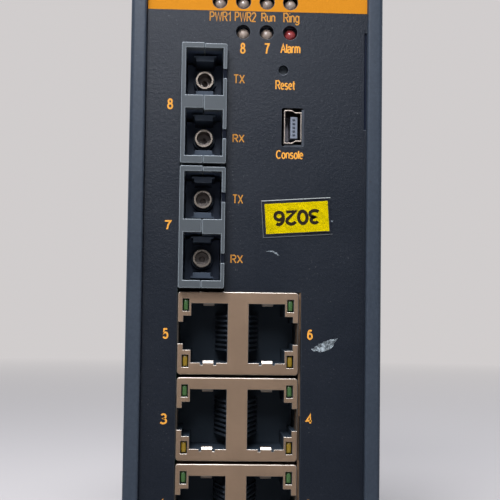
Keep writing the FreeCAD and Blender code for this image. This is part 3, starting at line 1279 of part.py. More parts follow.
def build():
    """All nodes by name."""
    nodes = {}
    nodes["left_side_profile"] = side_profile()
    nodes["right_side_profile"] = mirror_x(nodes["left_side_profile"])
    nodes["front_panel"] = front_panel()
    nodes["back_panel"] = back_panel()
    nodes["top_plate"] = top_plate()
    nodes["bottom_plate"] = end_plate(0.0, 0.0)
    nodes["top_plate_screws"] = plate_screws(CASE_HEIGHT, True)
    nodes["bottom_plate_screws"] = plate_screws(0.0, False)
    nodes["ground_screw"] = ground_screw()
    nodes["ground_washer"] = ground_washer()
    nodes["rail_clip_base"] = rail_clip_base()
    nodes["rail_latch"] = rail_latch()
    nodes["latch_spring"] = latch_spring()
    nodes["rail_clip_screws"] = rail_clip_screws()
    nodes["rail_clip_nuts"] = rail_clip_nuts()
    nodes["terminal_header"] = terminal_header()
    nodes["header_pins"] = header_pins()
    nodes["terminal_plug"] = terminal_plug()
    nodes["terminal_screws"] = terminal_screws()
    nodes["terminal_clamps"] = terminal_clamps()
    nodes["main_board"] = main_board()
    nodes["power_board"] = power_board()
    nodes["indicator_board"] = indicator_board()
    nodes["link_board"] = link_board()
    nodes["board_spacers"] = board_spacers()
    nodes["board_screws"] = board_screws()
    for name, top in zip(("upper", "middle", "lower"), jack_tops()):
        nodes["jack_" + name + "_shield"] = jack_shield(top)
        nodes["jack_" + name + "_housing"] = jack_housing(top)
        nodes["jack_" + name + "_contacts"] = jack_contacts(top)
    nodes["jack_green_windows"] = jack_windows(True)
    nodes["jack_yellow_windows"] = jack_windows(False)
    for name, top in zip(("upper", "lower"), optic_tops()):
        nodes["optic_" + name + "_left_shell"] = optic_shell(top, -1)
        nodes["optic_" + name + "_right_shell"] = optic_shell(top, 1)
        nodes["optic_" + name + "_adapters"] = optic_adapters(top)
        nodes["optic_" + name + "_sleeves"] = optic_sleeves(top)
    nodes["console_shell"] = console_shell()
    nodes["console_tongue"] = console_tongue()
    nodes["console_contacts"] = console_contacts()
    nodes["reset_switch_body"] = reset_switch_body()
    nodes["reset_button"] = reset_button()
    nodes["status_leds"] = group([led(x, z) for x, z in LED_PLACES])
    nodes["alarm_led"] = led(*ALARM_LED_PLACE)
    nodes["label_tape"] = label_tape()
    nodes["label_film"] = label_film()
    nodes["switch_chip"] = switch_chip()
    nodes["chip_heatsink"] = chip_heatsink()
    nodes["power_transformer"] = power_transformer()
    nodes["power_capacitors"] = power_capacitors()
    nodes["alarm_relay"] = alarm_relay()
    return nodes


os.makedirs("parts", exist_ok=True)
for node_name, node_shape in build().items():
    node_shape.exportStep("parts/" + node_name + ".step")
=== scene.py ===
import json
import math

import bmesh
import bpy
from bpy.props import FloatProperty, FloatVectorProperty, PointerProperty, StringProperty
from mathutils import Matrix, Vector

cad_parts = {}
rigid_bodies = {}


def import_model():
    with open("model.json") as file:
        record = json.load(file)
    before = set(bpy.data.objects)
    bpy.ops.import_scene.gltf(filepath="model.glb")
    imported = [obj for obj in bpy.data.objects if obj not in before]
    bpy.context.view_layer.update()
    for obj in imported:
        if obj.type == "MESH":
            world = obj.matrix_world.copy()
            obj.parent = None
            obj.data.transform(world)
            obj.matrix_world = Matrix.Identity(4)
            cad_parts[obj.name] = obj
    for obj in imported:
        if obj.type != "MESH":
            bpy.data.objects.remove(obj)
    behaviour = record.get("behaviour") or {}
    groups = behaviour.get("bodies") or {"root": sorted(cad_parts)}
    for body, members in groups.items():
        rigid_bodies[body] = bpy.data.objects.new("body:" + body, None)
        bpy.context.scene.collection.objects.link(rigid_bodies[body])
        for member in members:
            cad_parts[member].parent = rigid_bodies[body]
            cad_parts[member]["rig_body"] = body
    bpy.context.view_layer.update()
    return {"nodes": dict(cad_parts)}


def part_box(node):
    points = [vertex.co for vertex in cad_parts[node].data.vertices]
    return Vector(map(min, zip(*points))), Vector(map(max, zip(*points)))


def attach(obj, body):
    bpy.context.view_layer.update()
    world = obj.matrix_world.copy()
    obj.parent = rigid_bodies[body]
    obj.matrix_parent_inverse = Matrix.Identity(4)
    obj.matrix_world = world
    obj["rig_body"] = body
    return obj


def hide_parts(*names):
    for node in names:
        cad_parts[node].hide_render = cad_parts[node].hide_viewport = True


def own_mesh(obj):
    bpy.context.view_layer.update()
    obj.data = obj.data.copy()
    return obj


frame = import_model()

bl_info = {
    "name": "DIN Rail Ethernet Switch",
    "version": (1, 0, 0),
    "blender": (4, 5, 0),
    "location": "3D View > Sidebar > Ethernet Switch",
    "description": "Builds the finished pieces, lights and camera of a DIN rail Ethernet switch",
    "category": "Object",
}


MM = 0.001

# Faces of the case that other pieces are placed from
PANEL_LOW, PANEL_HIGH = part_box("front_panel")
PANEL_FACE_Y = PANEL_LOW.y
JACKS_BOTTOM, JACKS_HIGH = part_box("jack_lower_shield")[0].z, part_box("jack_upper_shield")[1]
OPTICS_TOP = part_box("optic_upper_left_shell")[1].z
INK_THICKNESS = 0.012 * MM
BEAD_WIDTH = 3.25 * MM
# The slot beside the right bead, from the top of the transceivers
SLOT_BELOW, SLOT_ABOVE = 17.35 * MM, 3.45 * MM
SLOT_WIDTH, SLOT_DEPTH = 0.6 * MM, 0.55 * MM
JOINT_WIDTH = 0.17 * MM
SHADE_OVERLAP = 0.05 * MM
# Half the height of the painted shade in a key slot, and how far it is below the middle of its bay
KEY_SHADE_REACH, KEY_SHADE_DROP = 0.97 * MM, 0.37 * MM
# How far the painted shade's sides are inside the shell's right side, and its face behind the shell's
# front
KEY_SHADE_SIDES, KEY_SHADE_DEPTH = (0.80 * MM, 0.04 * MM), 0.45 * MM
# Corners nearer than this are one corner of a CAD mesh
WELD_DISTANCE = 0.002 * MM
# A face whose normal's y is between these is a fold at the front, which gets the painted edge highlight
FOLD_NORMALS = (-0.97, -0.25)


def colour(name, text, value):
    """A colour setting of the panel in the sidebar."""
    return FloatVectorProperty(name=name, description=text, default=value, size=3, subtype="COLOR",
                               min=0.0, max=1.0)


def length(name, text, value):
    """A length setting."""
    return FloatProperty(name=name, description=text, default=value, unit="LENGTH", precision=5)


def angle(name, text, degrees):
    """An angle setting."""
    return FloatProperty(name=name, description=text, default=math.radians(degrees), subtype="ANGLE")


def power(name, text, value):
    """A setting of a lamp's power."""
    return FloatProperty(name=name, description=text, default=value, unit="POWER", min=0.0, max=50.0)


def amount(name, text, value, lowest, highest):
    """A setting without a unit."""
    return FloatProperty(name=name, description=text, default=value, min=lowest, max=highest)


# Settings that a user would change

class SwitchCaseSettings(bpy.types.PropertyGroup):
    """Colours and sizes of the case, the front panel and its print."""
    coat_colour: colour("Side coat", "Smooth coat of the side profiles", (0.034, 0.045, 0.061))
    panel_colour: colour("Panel coat", "Powder coat of the front panel", (0.0068, 0.0100, 0.0165))
    plate_colour: colour("Plate coat", "Powder coat of the end and back plates", (0.012, 0.015, 0.022))
    band_colour: colour("Band", "Painted band across the top of the front panel", (0.520, 0.192, 0.002))
    ink_colour: colour("Legend ink", "Ink of the legends and port numbers", (0.76, 0.33, 0.043))
    scuff_colour: colour("Scuff", "Bare coat where the panel is scuffed", (0.36, 0.41, 0.43))
    band_bottom: length("Band edge", "Height of the band's lower edge", 121.61 * MM)
    edge_radius: length("Edge radius", "Rounding of the case's folded and cut edges", 0.14 * MM)
    grain_size: length("Powder grain", "Size of the powder coat's grain", 0.23 * MM)


class SwitchPortSettings(bpy.types.PropertyGroup):
    """Colours of the connectors and indicators."""
    tin_colour: colour("Jack shield", "Tin plated shield of the jacks", (0.280, 0.186, 0.118))
    optic_colour: colour("Transceiver", "Moulded shell of the fibre transceivers", (0.066, 0.075, 0.080))
    inner_colour: colour("Connector inside", "Black plastic inside the connectors", (0.013, 0.021, 0.034))
    housing_colour: colour("Jack inside", "Plastic inside the network jacks", (0.028, 0.039, 0.052))
    adapter_colour: colour("Adapter", "Plastic of the latch arms and hubs", (0.052, 0.068, 0.092))
    sleeve_colour: colour("Fibre sleeve", "Metal sleeve of the fibre bays", (0.37, 0.31, 0.25))
    clear_lens: colour("Clear lens", "Lens of the status indicators", (0.74, 0.58, 0.47))
    red_lens: colour("Red lens", "Lens of the alarm indicator", (0.74, 0.12, 0.12))
    green_window: colour("Green window", "Link indicator of a jack", (0.050, 0.120, 0.034))
    yellow_window: colour("Yellow window", "Speed indicator of a jack", (0.24, 0.150, 0.009))


class SwitchLabelSettings(bpy.types.PropertyGroup):
    """The tape label."""
    tape_colour: colour("Tape", "Colour of the label tape", (0.86, 0.655, 0.001))
    mark_colour: colour("Mark", "Colour of the label's number", (0.018, 0.012, 0.006))
    number: StringProperty(name="Number", description="Plain number on the label", default="3026")
    number_width: length("Number width", "Width of the printed number", 9.9 * MM)
    number_height: length("Number height", "Height of the printed number", 3.3 * MM)
    number_stroke: length("Number stroke", "Width of the number's strokes", 0.70 * MM)
    tilt: angle("Tilt", "Turn of the label on the panel", 3.9)


class SwitchStageSettings(bpy.types.PropertyGroup):
    """Floor, background, lamps and camera."""
    backdrop_colour: colour("Background", "Pale background", (0.635, 0.61, 0.61))
    floor_colour: colour("Floor", "Pale floor under the object", (0.51, 0.475, 0.455))
    world_level: amount("Ambient light", "Even light from all sides", 0.55, 0.0, 2.0)
    front_level: amount("Front level", "Share of it from the front, low down", 0.12, 0.0, 1.0)
    front_fill: amount("Front fill", "The same share on dull surfaces", 0.40, 0.0, 1.0)
    key_power: power("Key lamp", "Soft lamp above the front", 2.0)
    sheen_power: power("Sheen lamp", "Weak lamp that the paint reflects", 0.34)
    top_power: power("Top lamp", "Soft lamp above the object", 1.8)
    rear_power: power("Rear lamp", "Soft lamp behind the object", 1.0)
    camera_distance: length("Camera distance", "From the front panel to the camera", 230.09 * MM)
    camera_side: length("Camera side", "Sideways place of the camera", -10.10 * MM)
    camera_drop: length("Camera drop", "From the top of the jacks down to the camera", 4.47 * MM)
    camera_pitch: angle("Camera pitch", "Upward tilt of the camera", 3.3178)
    camera_yaw: angle("Camera yaw", "Turn of the camera to the right", 2.2832)
    camera_roll: angle("Camera roll", "Roll of the camera", 0.7766)
    lens_share: amount("Lens", "Focal length as a share of the picture's width", 2.2, 0.5, 10.0)


# Mesh building

def link(name, data):
    """A new object in the scene for a mesh, a lamp or the camera."""
    piece = bpy.data.objects.new(name, data)
    bpy.context.scene.collection.objects.link(piece)
    return piece


def smooth(mesh, sharp):
    """Smooth shading, with edges sharper than an angle in degrees kept sharp."""
    mesh.polygons.foreach_set("use_smooth", [True] * len(mesh.polygons))
    mesh.set_sharp_from_angle(angle=math.radians(sharp))


def settle(piece, node):
    """Ties a piece to the moving body of a CAD node."""
    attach(piece, frame["nodes"][node]["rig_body"])


def built(name, build, material, node=None, sharp=None):
    """A piece made by a function that fills an empty bmesh. It goes with a CAD node, if one is named,
    and is smooth where an angle for its sharp edges is given."""
    shape = bmesh.new()
    build(shape)
    bmesh.ops.recalc_face_normals(shape, faces=shape.faces)
    mesh = bpy.data.meshes.new(name)
    shape.to_mesh(mesh)
    shape.free()
    mesh.materials.append(material)
    if sharp:
        smooth(mesh, sharp)
    piece = link(name, mesh)
    if node:
        settle(piece, node)
    return piece


def cad_shape(node):
    """A CAD node's mesh with its corners joined."""
    shape = bmesh.new()
    shape.from_mesh(frame["nodes"][node].data)
    bmesh.ops.remove_doubles(shape, verts=shape.verts, dist=WELD_DISTANCE)
    return shape


def finished(material, radius, *nodes, segments=2, worn=None):
    """Copies of CAD nodes with merged flat faces and rounded edges, shown in their place. The last
    argument, where given, is another material for the rounded edges and front folds: a lighter colour that
    paints a highlight there, and on the transceiver shells also wear."""
    for node in nodes:
        shape = cad_shape(node)
        bmesh.ops.dissolve_limit(shape, angle_limit=math.radians(0.4), verts=shape.verts,
                                 edges=shape.edges)
        mesh = bpy.data.meshes.new("finished_" + node)
        shape.to_mesh(mesh)
        shape.free()
        custom = mesh.attributes.get("custom_normal")
        if custom:
            mesh.attributes.remove(custom)
        mesh.materials.append(material)
        smooth(mesh, 35)
        piece = link("finished_" + node, mesh)
        bevel = piece.modifiers.new("Rounded edges", "BEVEL")
        bevel.width = radius
        bevel.segments = segments
        bevel.limit_method = "ANGLE"
        bevel.angle_limit = math.radians(35)
        bevel.use_clamp_overlap = False
        bevel.harden_normals = True
        if worn:
            mesh.materials.append(worn)
            bevel.material = 1
            for face in mesh.polygons:
                face.material_index = int(FOLD_NORMALS[0] < face.normal.y < FOLD_NORMALS[1])
        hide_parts(node)
        settle(piece, node)


def keep(material, *nodes):
    """Gives CAD nodes that stay as they are their finish."""
    for node in nodes:
        mesh = frame["nodes"][node].data
        mesh.materials.clear()
        mesh.materials.append(material)


def loose_boxes(node):
    """The lowest and highest corner of each separate solid of a CAD node, by height, then from left
    to right."""
    shape = cad_shape(node)
    left = set(shape.verts)
    boxes = []
    while left:
        island = {left.pop()}
        edge = list(island)
        while edge:
            found = [e.other_vert(v) for v in edge for e in v.link_edges]
            edge = [v for v in set(found) if v in left]
            left.difference_update(edge)
            island.update(edge)
        places = [v.co for v in island]
        boxes.append((Vector([min(p[i] for p in places) for i in range(3)]),
                      Vector([max(p[i] for p in places) for i in range(3)])))
    shape.free()
    return sorted(boxes, key=lambda b: (round(b[0].z, 4), b[0].x))


def skin(shape, rings, closed=False):
    """Faces between rings of corners, with a cap at both ends unless the row of rings is closed. A
    ring can be a single point."""
    for one, two in zip(rings, rings[1:] + (rings[:1] if closed else [])):
        for i in range(max(len(one), len(two))):
            corners = [one[i % len(one)], one[(i + 1) % len(one)],
                       two[(i + 1) % len(two)], two[i % len(two)]]
            shape.faces.new(list(dict.fromkeys(corners)))
    for ring in (rings[0], rings[-1]):
        if len(ring) > 2 and not closed:
            shape.faces.new(ring)


def lathed(name, outline, centre, segments, material, node):
    """A round piece about an axis along Y through centre, from (radius, y) pairs."""
    def build(shape):
        skin(shape, [[shape.verts.new((centre[0] + radius * math.cos(math.tau * i / segments), y,
                                       centre[1] + radius * math.sin(math.tau * i / segments)))
                      for i in range(segments if radius else 1)] for radius, y in outline])
    return built(name, build, material, node, 45)


def flat_shape(name, corners, y, material, node):
    """A thin printed or scratched mark with its face at y, from (x, z) corners."""
    def build(shape):
        skin(shape, [[shape.verts.new((x, depth, z)) for x, z in corners]
                     for depth in (y, y + INK_THICKNESS)])
    built(name, build, material, node)


def rectangle(name, left, right, bottom, top, y, material, node):
    """An upright rectangle, as thin as a mark, with its face at y."""
    flat_shape(name, ((left, bottom), (right, bottom), (right, top), (left, top)), y, material, node)


# Print. Letters are drawn as ribbons along their centre lines.

def arc(x, z, wide, tall, start, end):
    """Points on an ellipse about (x, z), from one angle in degrees to another."""
    steps = max(4, round(abs(end - start) / 20))
    turns = [math.radians(start + (end - start) * i / steps) for i in range(steps + 1)]
    return [(x + wide * math.cos(turn), z + tall * math.sin(turn)) for turn in turns]


# Each letter's width and strokes, where a capital is 1 tall
LETTERS = {
    "0": (0.5, [arc(0.25, 0.5, 0.25, 0.5, 0, 360)]),
    "1": (0.26, [[(0, 0.74), (0.12, 0.82), (0.26, 1), (0.26, 0)]]),
    "2": (0.52, [arc(0.26, 0.73, 0.25, 0.27, 165, -30) + [(0, 0), (0.52, 0)]]),
    "3": (0.5, [arc(0.24, 0.76, 0.21, 0.24, 150, -90) + arc(0.23, 0.26, 0.27, 0.26, 90, -150)]),
    "4": (0.54, [[(0.4, 0), (0.4, 1), (0, 0.29), (0.54, 0.29)]]),
    "5": (0.5, [[(0.46, 1), (0.1, 1), (0.03, 0.5)] + arc(0.24, 0.32, 0.26, 0.32, 135, -150)]),
    "6": (0.5, [arc(0.25, 0.31, 0.24, 0.31, 0, 360), arc(0.28, 0.42, 0.27, 0.58, 190, 55)]),
    "7": (0.5, [[(0, 1), (0.5, 1), (0.3, 0.55), (0.2, 0)]]),
    "8": (0.5, [arc(0.25, 0.765, 0.2, 0.235, 0, 360), arc(0.25, 0.265, 0.25, 0.265, 0, 360)]),
    "A": (0.62, [[(0, 0), (0.31, 1), (0.62, 0)], [(0.12, 0.36), (0.5, 0.36)]]),
    "C": (0.62, [arc(0.33, 0.5, 0.33, 0.5, 45, 315)]),
    "P": (0.54, [[(0, 0), (0, 1), (0.3, 1)] + arc(0.3, 0.74, 0.24, 0.26, 90, -90)
                 + [(0, 0.48)]]),
    "R": (0.58, [[(0, 0), (0, 1), (0.32, 1)] + arc(0.32, 0.75, 0.24, 0.25, 90, -90)
                 + [(0, 0.5)], [(0.3, 0.5), (0.58, 0)]]),
    "T": (0.58, [[(0, 1), (0.58, 1)], [(0.29, 1), (0.29, 0)]]),
    "W": (0.88, [[(0, 1), (0.21, 0), (0.44, 0.96), (0.67, 0), (0.88, 1)]]),
    "X": (0.58, [[(0, 1), (0.58, 0)], [(0, 0), (0.58, 1)]]),
    "a": (0.42, [arc(0.21, 0.5, 0.2, 0.22, 155, 0) + [(0.41, 0)],
                 [(0.41, 0.42), (0.2, 0.4)] + arc(0.17, 0.21, 0.17, 0.2, 90, 270) + [(0.41, 0.14)]]),
    "e": (0.42, [[(0, 0.38), (0.42, 0.38)] + arc(0.21, 0.36, 0.21, 0.36, 5, 315)]),
    "g": (0.44, [arc(0.22, 0.37, 0.22, 0.35, 0, 360),
                 [(0.44, 0.72), (0.44, -0.06)] + arc(0.22, -0.06, 0.22, 0.2, 0, -155)]),
    "i": (0.0, [[(0, 0.72), (0, 0)], [(0, 1), (0, 0.92)]]),
    "l": (0.0, [[(0, 1), (0, 0)]]),
    "m": (0.68, [[(0, 0.72), (0, 0)], arc(0.17, 0.5, 0.17, 0.22, 180, 0) + [(0.34, 0)],
                 arc(0.51, 0.5, 0.17, 0.22, 180, 0) + [(0.68, 0)]]),
    "n": (0.42, [[(0, 0.72), (0, 0)], arc(0.21, 0.48, 0.21, 0.24, 180, 0) + [(0.42, 0)]]),
    "o": (0.44, [arc(0.22, 0.36, 0.22, 0.36, 0, 360)]),
    "r": (0.24, [[(0, 0.72), (0, 0)], arc(0.22, 0.44, 0.22, 0.28, 180, 80)]),
    "s": (0.4, [arc(0.2, 0.54, 0.18, 0.18, 35, 270) + arc(0.2, 0.18, 0.2, 0.18, 90, -145)]),
    "t": (0.32, [[(0.13, 0.98), (0.13, 0.14)] + arc(0.27, 0.14, 0.14, 0.14, 180, 270),
                 [(-0.04, 0.7), (0.32, 0.7)]]),
    "u": (0.42, [[(0, 0.72)] + arc(0.21, 0.24, 0.21, 0.24, 180, 360), [(0.42, 0.72), (0.42, 0)]]),
}
LETTER_GAP = 0.18
# Each further stroke of a word lies this much nearer, so that crossing strokes don't share a face
LAYER_STEP = 0.0006 * MM


def ribbon(shape, points, width, y):
    """A thin flat ribbon along a line of (x, z) points, its face at y."""
    closed = (Vector(points[0]) - Vector(points[-1])).length < width / 20
    points = [Vector(p) for p in (points[:-1] if closed else points)]
    rings = []
    for i, point in enumerate(points):
        before = points[i - 1] if i or closed else None
        after = points[(i + 1) % len(points)] if i + 1 < len(points) or closed else None
        ways = [w.normalized() for w in (point - before if before else None,
                                         after - point if after else None) if w is not None]
        way = (ways[0] + ways[-1]).normalized()
        across = Vector((-way.y, way.x)) * min(width / 2 / max(way.dot(ways[0]), 0.1), width)
        corners = (point + across, point - across)
        rings.append([shape.verts.new((c.x, depth, c.y)) for depth in (y, y + INK_THICKNESS)
                      for c in (corners if depth == y else corners[::-1])])
    skin(shape, rings, closed)


def printed(name, text, box, y, stroke, material, node, turn=0.0):
    """Words that fill a box (left, right, bottom, top) on a face at y."""
    lines = []
    reach = 0.0
    for letter in text:
        wide, strokes = LETTERS[letter]
        lines += [[(x + reach, z) for x, z in line] for line in strokes]
        reach += wide + LETTER_GAP
    low = Vector([min(p[i] for line in lines for p in line) for i in range(2)])
    high = Vector([max(p[i] for line in lines for p in line) for i in range(2)])
    low_corner, high_corner = Vector(box[0::2]), Vector(box[1::2])
    room = high_corner - low_corner - Vector((stroke, stroke))
    middle = (low_corner + high_corner) / 2
    rotation = Matrix.Rotation(turn, 2)

    def place(point):
        flat = [(point[i] - (low[i] + high[i]) / 2) * room[i] / (high[i] - low[i]) for i in range(2)]
        return middle + rotation @ Vector(flat)

    def build(shape):
        for layer, line in enumerate(lines):
            ribbon(shape, [place(p) for p in line], stroke, y - layer * LAYER_STEP)
    built(name, build, material, node)


# Shader nodes

def feed(tree, value, socket):
    """Sets a number or a colour on a socket, or links another socket to it."""
    if isinstance(value, (int, float, tuple)):
        socket.default_value = value
    else:
        tree.links.new(value, socket)


def fill_in(tree, node, values):
    """Feeds a node's inputs by their names, where _ stands for a space."""
    for label, value in values.items():
        feed(tree, value, node.inputs[label.replace("_", " ")])


def new_node(tree, kind, **values):
    """The outputs of a new shader node with values on its inputs."""
    node = tree.nodes.new("ShaderNode" + kind)
    fill_in(tree, node, values)
    return node.outputs


def math_node(tree, operation, first, second):
    """A math node; each value is a number or a socket."""
    node = tree.nodes.new("ShaderNodeMath")
    node.operation = operation
    feed(tree, first, node.inputs[0])
    feed(tree, second, node.inputs[1])
    return node.outputs[0]


def ramp(tree, value, low, high, to_low=0.0, to_high=1.0):
    """A clamped change of range."""
    return new_node(tree, "MapRange", Value=value, From_Min=low, From_Max=high, To_Min=to_low,
                    To_Max=to_high)["Result"]


def object_vector(tree):
    """Object coordinates, in metres."""
    return new_node(tree, "TexCoord")["Object"]


def object_axes(tree):
    """The x, y and z of the object coordinates."""
    return new_node(tree, "SeparateXYZ", Vector=object_vector(tree))


def noise(tree, scale, detail, rough, vector=None):
    """A noise texture, on the object coordinates unless told otherwise."""
    return new_node(tree, "TexNoise", Vector=vector or object_vector(tree), Scale=scale, Detail=detail,
                    Roughness=rough)["Fac"]


def new_group(name, outputs, **inputs):
    """An empty shader node group: itself, its input sockets and its output node."""
    group = bpy.data.node_groups.new(name, "ShaderNodeTree")
    for label, value in inputs.items():
        socket = group.interface.new_socket(name=label.replace("_", " "), in_out="INPUT",
                                            socket_type="NodeSocketFloat")
        socket.default_value = value
    for label in outputs:
        group.interface.new_socket(name=label, in_out="OUTPUT", socket_type="NodeSocketFloat")
    return group, group.nodes.new("NodeGroupInput").outputs, group.nodes.new("NodeGroupOutput")


def powder_grain(name):
    """Orange peel and fine grain of a powder coat."""
    group, given, result = new_group(name, ("Height", "Speckle"), Scale=3300.0)
    fine = noise(group, given["Scale"], 2.0, 0.6)
    coarse = noise(group, math_node(group, "MULTIPLY", given["Scale"], 0.31), 2.0, 0.5)
    fill_in(group, result, {"Height": math_node(group, "ADD", fine, coarse),
                            "Speckle": ramp(group, fine, 0.38, 0.66)})
    return group


def handling_marks(name):
    """Soft uneven patches where a surface was handled or has gathered dust."""
    group, given, result = new_group(name, ("Patch", "Dust"), Scale=60.0)
    wide = noise(group, given["Scale"], 4.0, 0.55)
    fine = noise(group, math_node(group, "MULTIPLY", given["Scale"], 40.0), 1.0, 0.5)
    dust = math_node(group, "MULTIPLY", ramp(group, fine, 0.70, 0.78), ramp(group, wide, 0.45, 0.65))
    fill_in(group, result, {"Patch": ramp(group, wide, 0.35, 0.68), "Dust": dust})
    return group


def rolled_streaks(name):
    """Fine streaks of rolled or brushed sheet."""
    group, given, result = new_group(name, ("Height", "Streak"), Along_X=300.0, Along_Z=6000.0)
    axes = object_axes(group)
    scales = (given["Along X"], 900.0, given["Along Z"])
    x, y, z = (math_node(group, "MULTIPLY", axis, scale) for axis, scale in zip(axes, scales))
    streak = noise(group, 1.0, 3.0, 0.6, new_node(group, "CombineXYZ", X=x, Y=y, Z=z)["Vector"])
    fill_in(group, result, {"Height": streak, "Streak": ramp(group, streak, 0.3, 0.7)})
    return group


GROUPS = {"Powder grain": powder_grain, "Handling marks": handling_marks,
          "Rolled streaks": rolled_streaks}


def effect(tree, name, **values):
    """The outputs of a shader node group, placed in a material with its own values. The group is made
    when it is first needed."""
    node = tree.nodes.new("ShaderNodeGroup")
    node.node_tree = bpy.data.node_groups.get(name) or GROUPS[name](name)
    fill_in(tree, node, values)
    return node.outputs


def blended(tree, share, first, second, output):
    """Shows one shader, and by a share another, at an output node."""
    mix = tree.nodes.new("ShaderNodeMixShader")
    for socket, source in zip(mix.inputs, (share, first, second)):
        tree.links.new(source, socket)
    tree.links.new(mix.outputs[0], tree.nodes[output].inputs["Surface"])


# Materials

def made_once(maker):
    """Lets a function that makes a material give back the one of that name when there is one."""
    def found_or_made(name, *values, **more):
        return bpy.data.materials.get(name) or maker(name, *values, **more)
    return found_or_made


def plain_material(name, base, roughness, metallic=0.0, **sockets):
    """A material with one Principled shader and its plain values."""
    material = bpy.data.materials.new(name)
    material.use_nodes = True
    tree = material.node_tree
    shader = tree.nodes["Principled BSDF"]
    sockets.update(Base_Color=(*base, 1.0), Roughness=roughness, Metallic=metallic)
    fill_in(tree, shader, sockets)
    return material, tree, shader


def mixed_in(tree, shader, other, mask, factor=None, under=None):
    """Mixes another colour by a mask over the shader's own, or over a plain one."""
    if factor:
        mask = math_node(tree, "MULTIPLY", mask, factor)
    socket = shader.inputs["Base Color"]
    mix = tree.nodes.new("ShaderNodeMix")
    mix.data_type = "RGBA"
    if socket.links:
        tree.links.new(socket.links[0].from_socket, mix.inputs[6])
    else:
        mix.inputs[6].default_value = (*under, 1.0) if under else socket.default_value
    mix.inputs[7].default_value = (*other, 1.0)
    tree.links.new(mask, mix.inputs[0])
    tree.links.new(mix.outputs[2], socket)


def roughened(tree, shader, mask, low, high):
    """Varies the shader's roughness by a mask."""
    tree.links.new(ramp(tree, mask, 0.0, 1.0, low, high), shader.inputs["Roughness"])


def bumped(tree, shader, height, strength, distance):
    """Feeds a height to the shader's normal."""
    bump = new_node(tree, "Bump", Strength=strength, Distance=distance, Height=height)
    tree.links.new(bump["Normal"], shader.inputs["Normal"])


def scaled(base, share):
    """A colour made darker or lighter."""
    return tuple(share * value for value in base)


def dusty(base, share):
    """A colour moved towards a dusty grey."""
    return tuple(value + (0.45 - value) * share for value in base)


@made_once
def coated(name, base, grain_scale, grain_depth, roughness, specular):
    """Painted or powder coated metal with grain and traces of handling."""
    material, tree, shader = plain_material(name, base, roughness, Specular_IOR_Level=specular)
    grain = effect(tree, "Powder grain", Scale=grain_scale)
    marks = effect(tree, "Handling marks", Scale=55.0)
    shade = math_node(tree, "ADD", math_node(tree, "MULTIPLY", grain["Speckle"], 0.7),
                      math_node(tree, "MULTIPLY", marks["Patch"], 0.3))
    mixed_in(tree, shader, dusty(base, 0.005), shade, under=scaled(base, 0.8))
    mixed_in(tree, shader, dusty(base, 0.18), marks["Dust"], 0.6)
    roughened(tree, shader, marks["Patch"], roughness - 0.04, roughness + 0.05)
    bumped(tree, shader, grain["Height"], 0.5, grain_depth)
    return material


@made_once
def panel_coat(name, case):
    """The front panel's powder coat, with the painted band across its top and, under it, a dark line that
    is painted shadow of the band's edge.
    """
    material = coated(name, case.panel_colour, 1.0 / case.grain_size, 0.06 * MM, 0.36, 0.28)
    tree = material.node_tree
    shader = tree.nodes["Principled BSDF"]
    y, z = object_axes(tree)[1:]
    edge = 0.04 * MM
    bottom = case.band_bottom
    above = ramp(tree, z, bottom - edge, bottom + edge)
    # Painted shadow: a thin dark line just under the band's lower edge
    line = ramp(tree, z, bottom - 5 * edge, bottom - 4 * edge)
    front = ramp(tree, y, PANEL_FACE_Y + 0.10 * MM, PANEL_FACE_Y + 0.16 * MM, 1.0, 0.0)
    band = math_node(tree, "MULTIPLY", above, front)
    line = math_node(tree, "MULTIPLY", front, math_node(tree, "SUBTRACT", line, above))
    mixed_in(tree, shader, case.band_colour, band)
    mixed_in(tree, shader, (0.010, 0.006, 0.003), line, 0.85)
    rough = shader.inputs["Roughness"]
    band_rough = math_node(tree, "MULTIPLY", band, 0.85)
    tree.links.new(math_node(tree, "MAXIMUM", rough.links[0].from_socket, band_rough), rough)
    return material


@made_once
def metal(name, base, roughness, along_x=300.0, along_z=6000.0, depth=0.006 * MM, metallic=1.0):
    """Plated or bare sheet metal with rolling streaks."""
    material, tree, shader = plain_material(name, base, roughness, metallic)
    streaks = effect(tree, "Rolled streaks", Along_X=along_x, Along_Z=along_z)
    marks = effect(tree, "Handling marks", Scale=90.0)
    mixed_in(tree, shader, scaled(base, 0.72), marks["Patch"], 0.6)
    roughened(tree, shader, streaks["Streak"], roughness - 0.05, roughness + 0.06)
    bumped(tree, shader, streaks["Height"], 0.4, depth)
    return material


@made_once
def plastic(name, base, roughness, grain=4200.0, depth=0.008 * MM, **sockets):
    """Moulded plastic with a fine eroded texture."""
    material, tree, shader = plain_material(name, base, roughness, **sockets)
    texture = effect(tree, "Powder grain", Scale=grain)
    marks = effect(tree, "Handling marks", Scale=120.0)
    mixed_in(tree, shader, dusty(base, 0.012), marks["Patch"])
    roughened(tree, shader, texture["Speckle"], roughness - 0.04, roughness + 0.04)
    bumped(tree, shader, texture["Height"], 0.35, depth)
    return material


def painted_depth_shading(material, front, shallow, deep, inside):
    """Turns a material to another colour between two depths in millimetres behind a front: painted shading
    deep in a socket, mostly darker as shade, in the fibre bays bluer and lighter."""
    tree = material.node_tree
    depth = ramp(tree, object_axes(tree)[1], front + shallow * MM, front + deep * MM)
    mixed_in(tree, tree.nodes["Principled BSDF"], inside, depth)


def zinc_plate():
    return metal("Zinc plate", (0.62, 0.62, 0.60), 0.32)


def black_plastic():
    return plastic("Black plastic", bpy.context.scene.switch_port.inner_colour, 0.42)


def painted_joint_shade():
    """Near black for a narrow joint or slot between two parts: painted shade, which at the panel's left
    edge also stands for the joint's own gap.
    """
    return plastic("Joint dark", (0.005, 0.007, 0.013), 0.8, Specular_IOR_Level=0.05)


# Operators, one for each piece or group of like pieces, each after the functions it uses

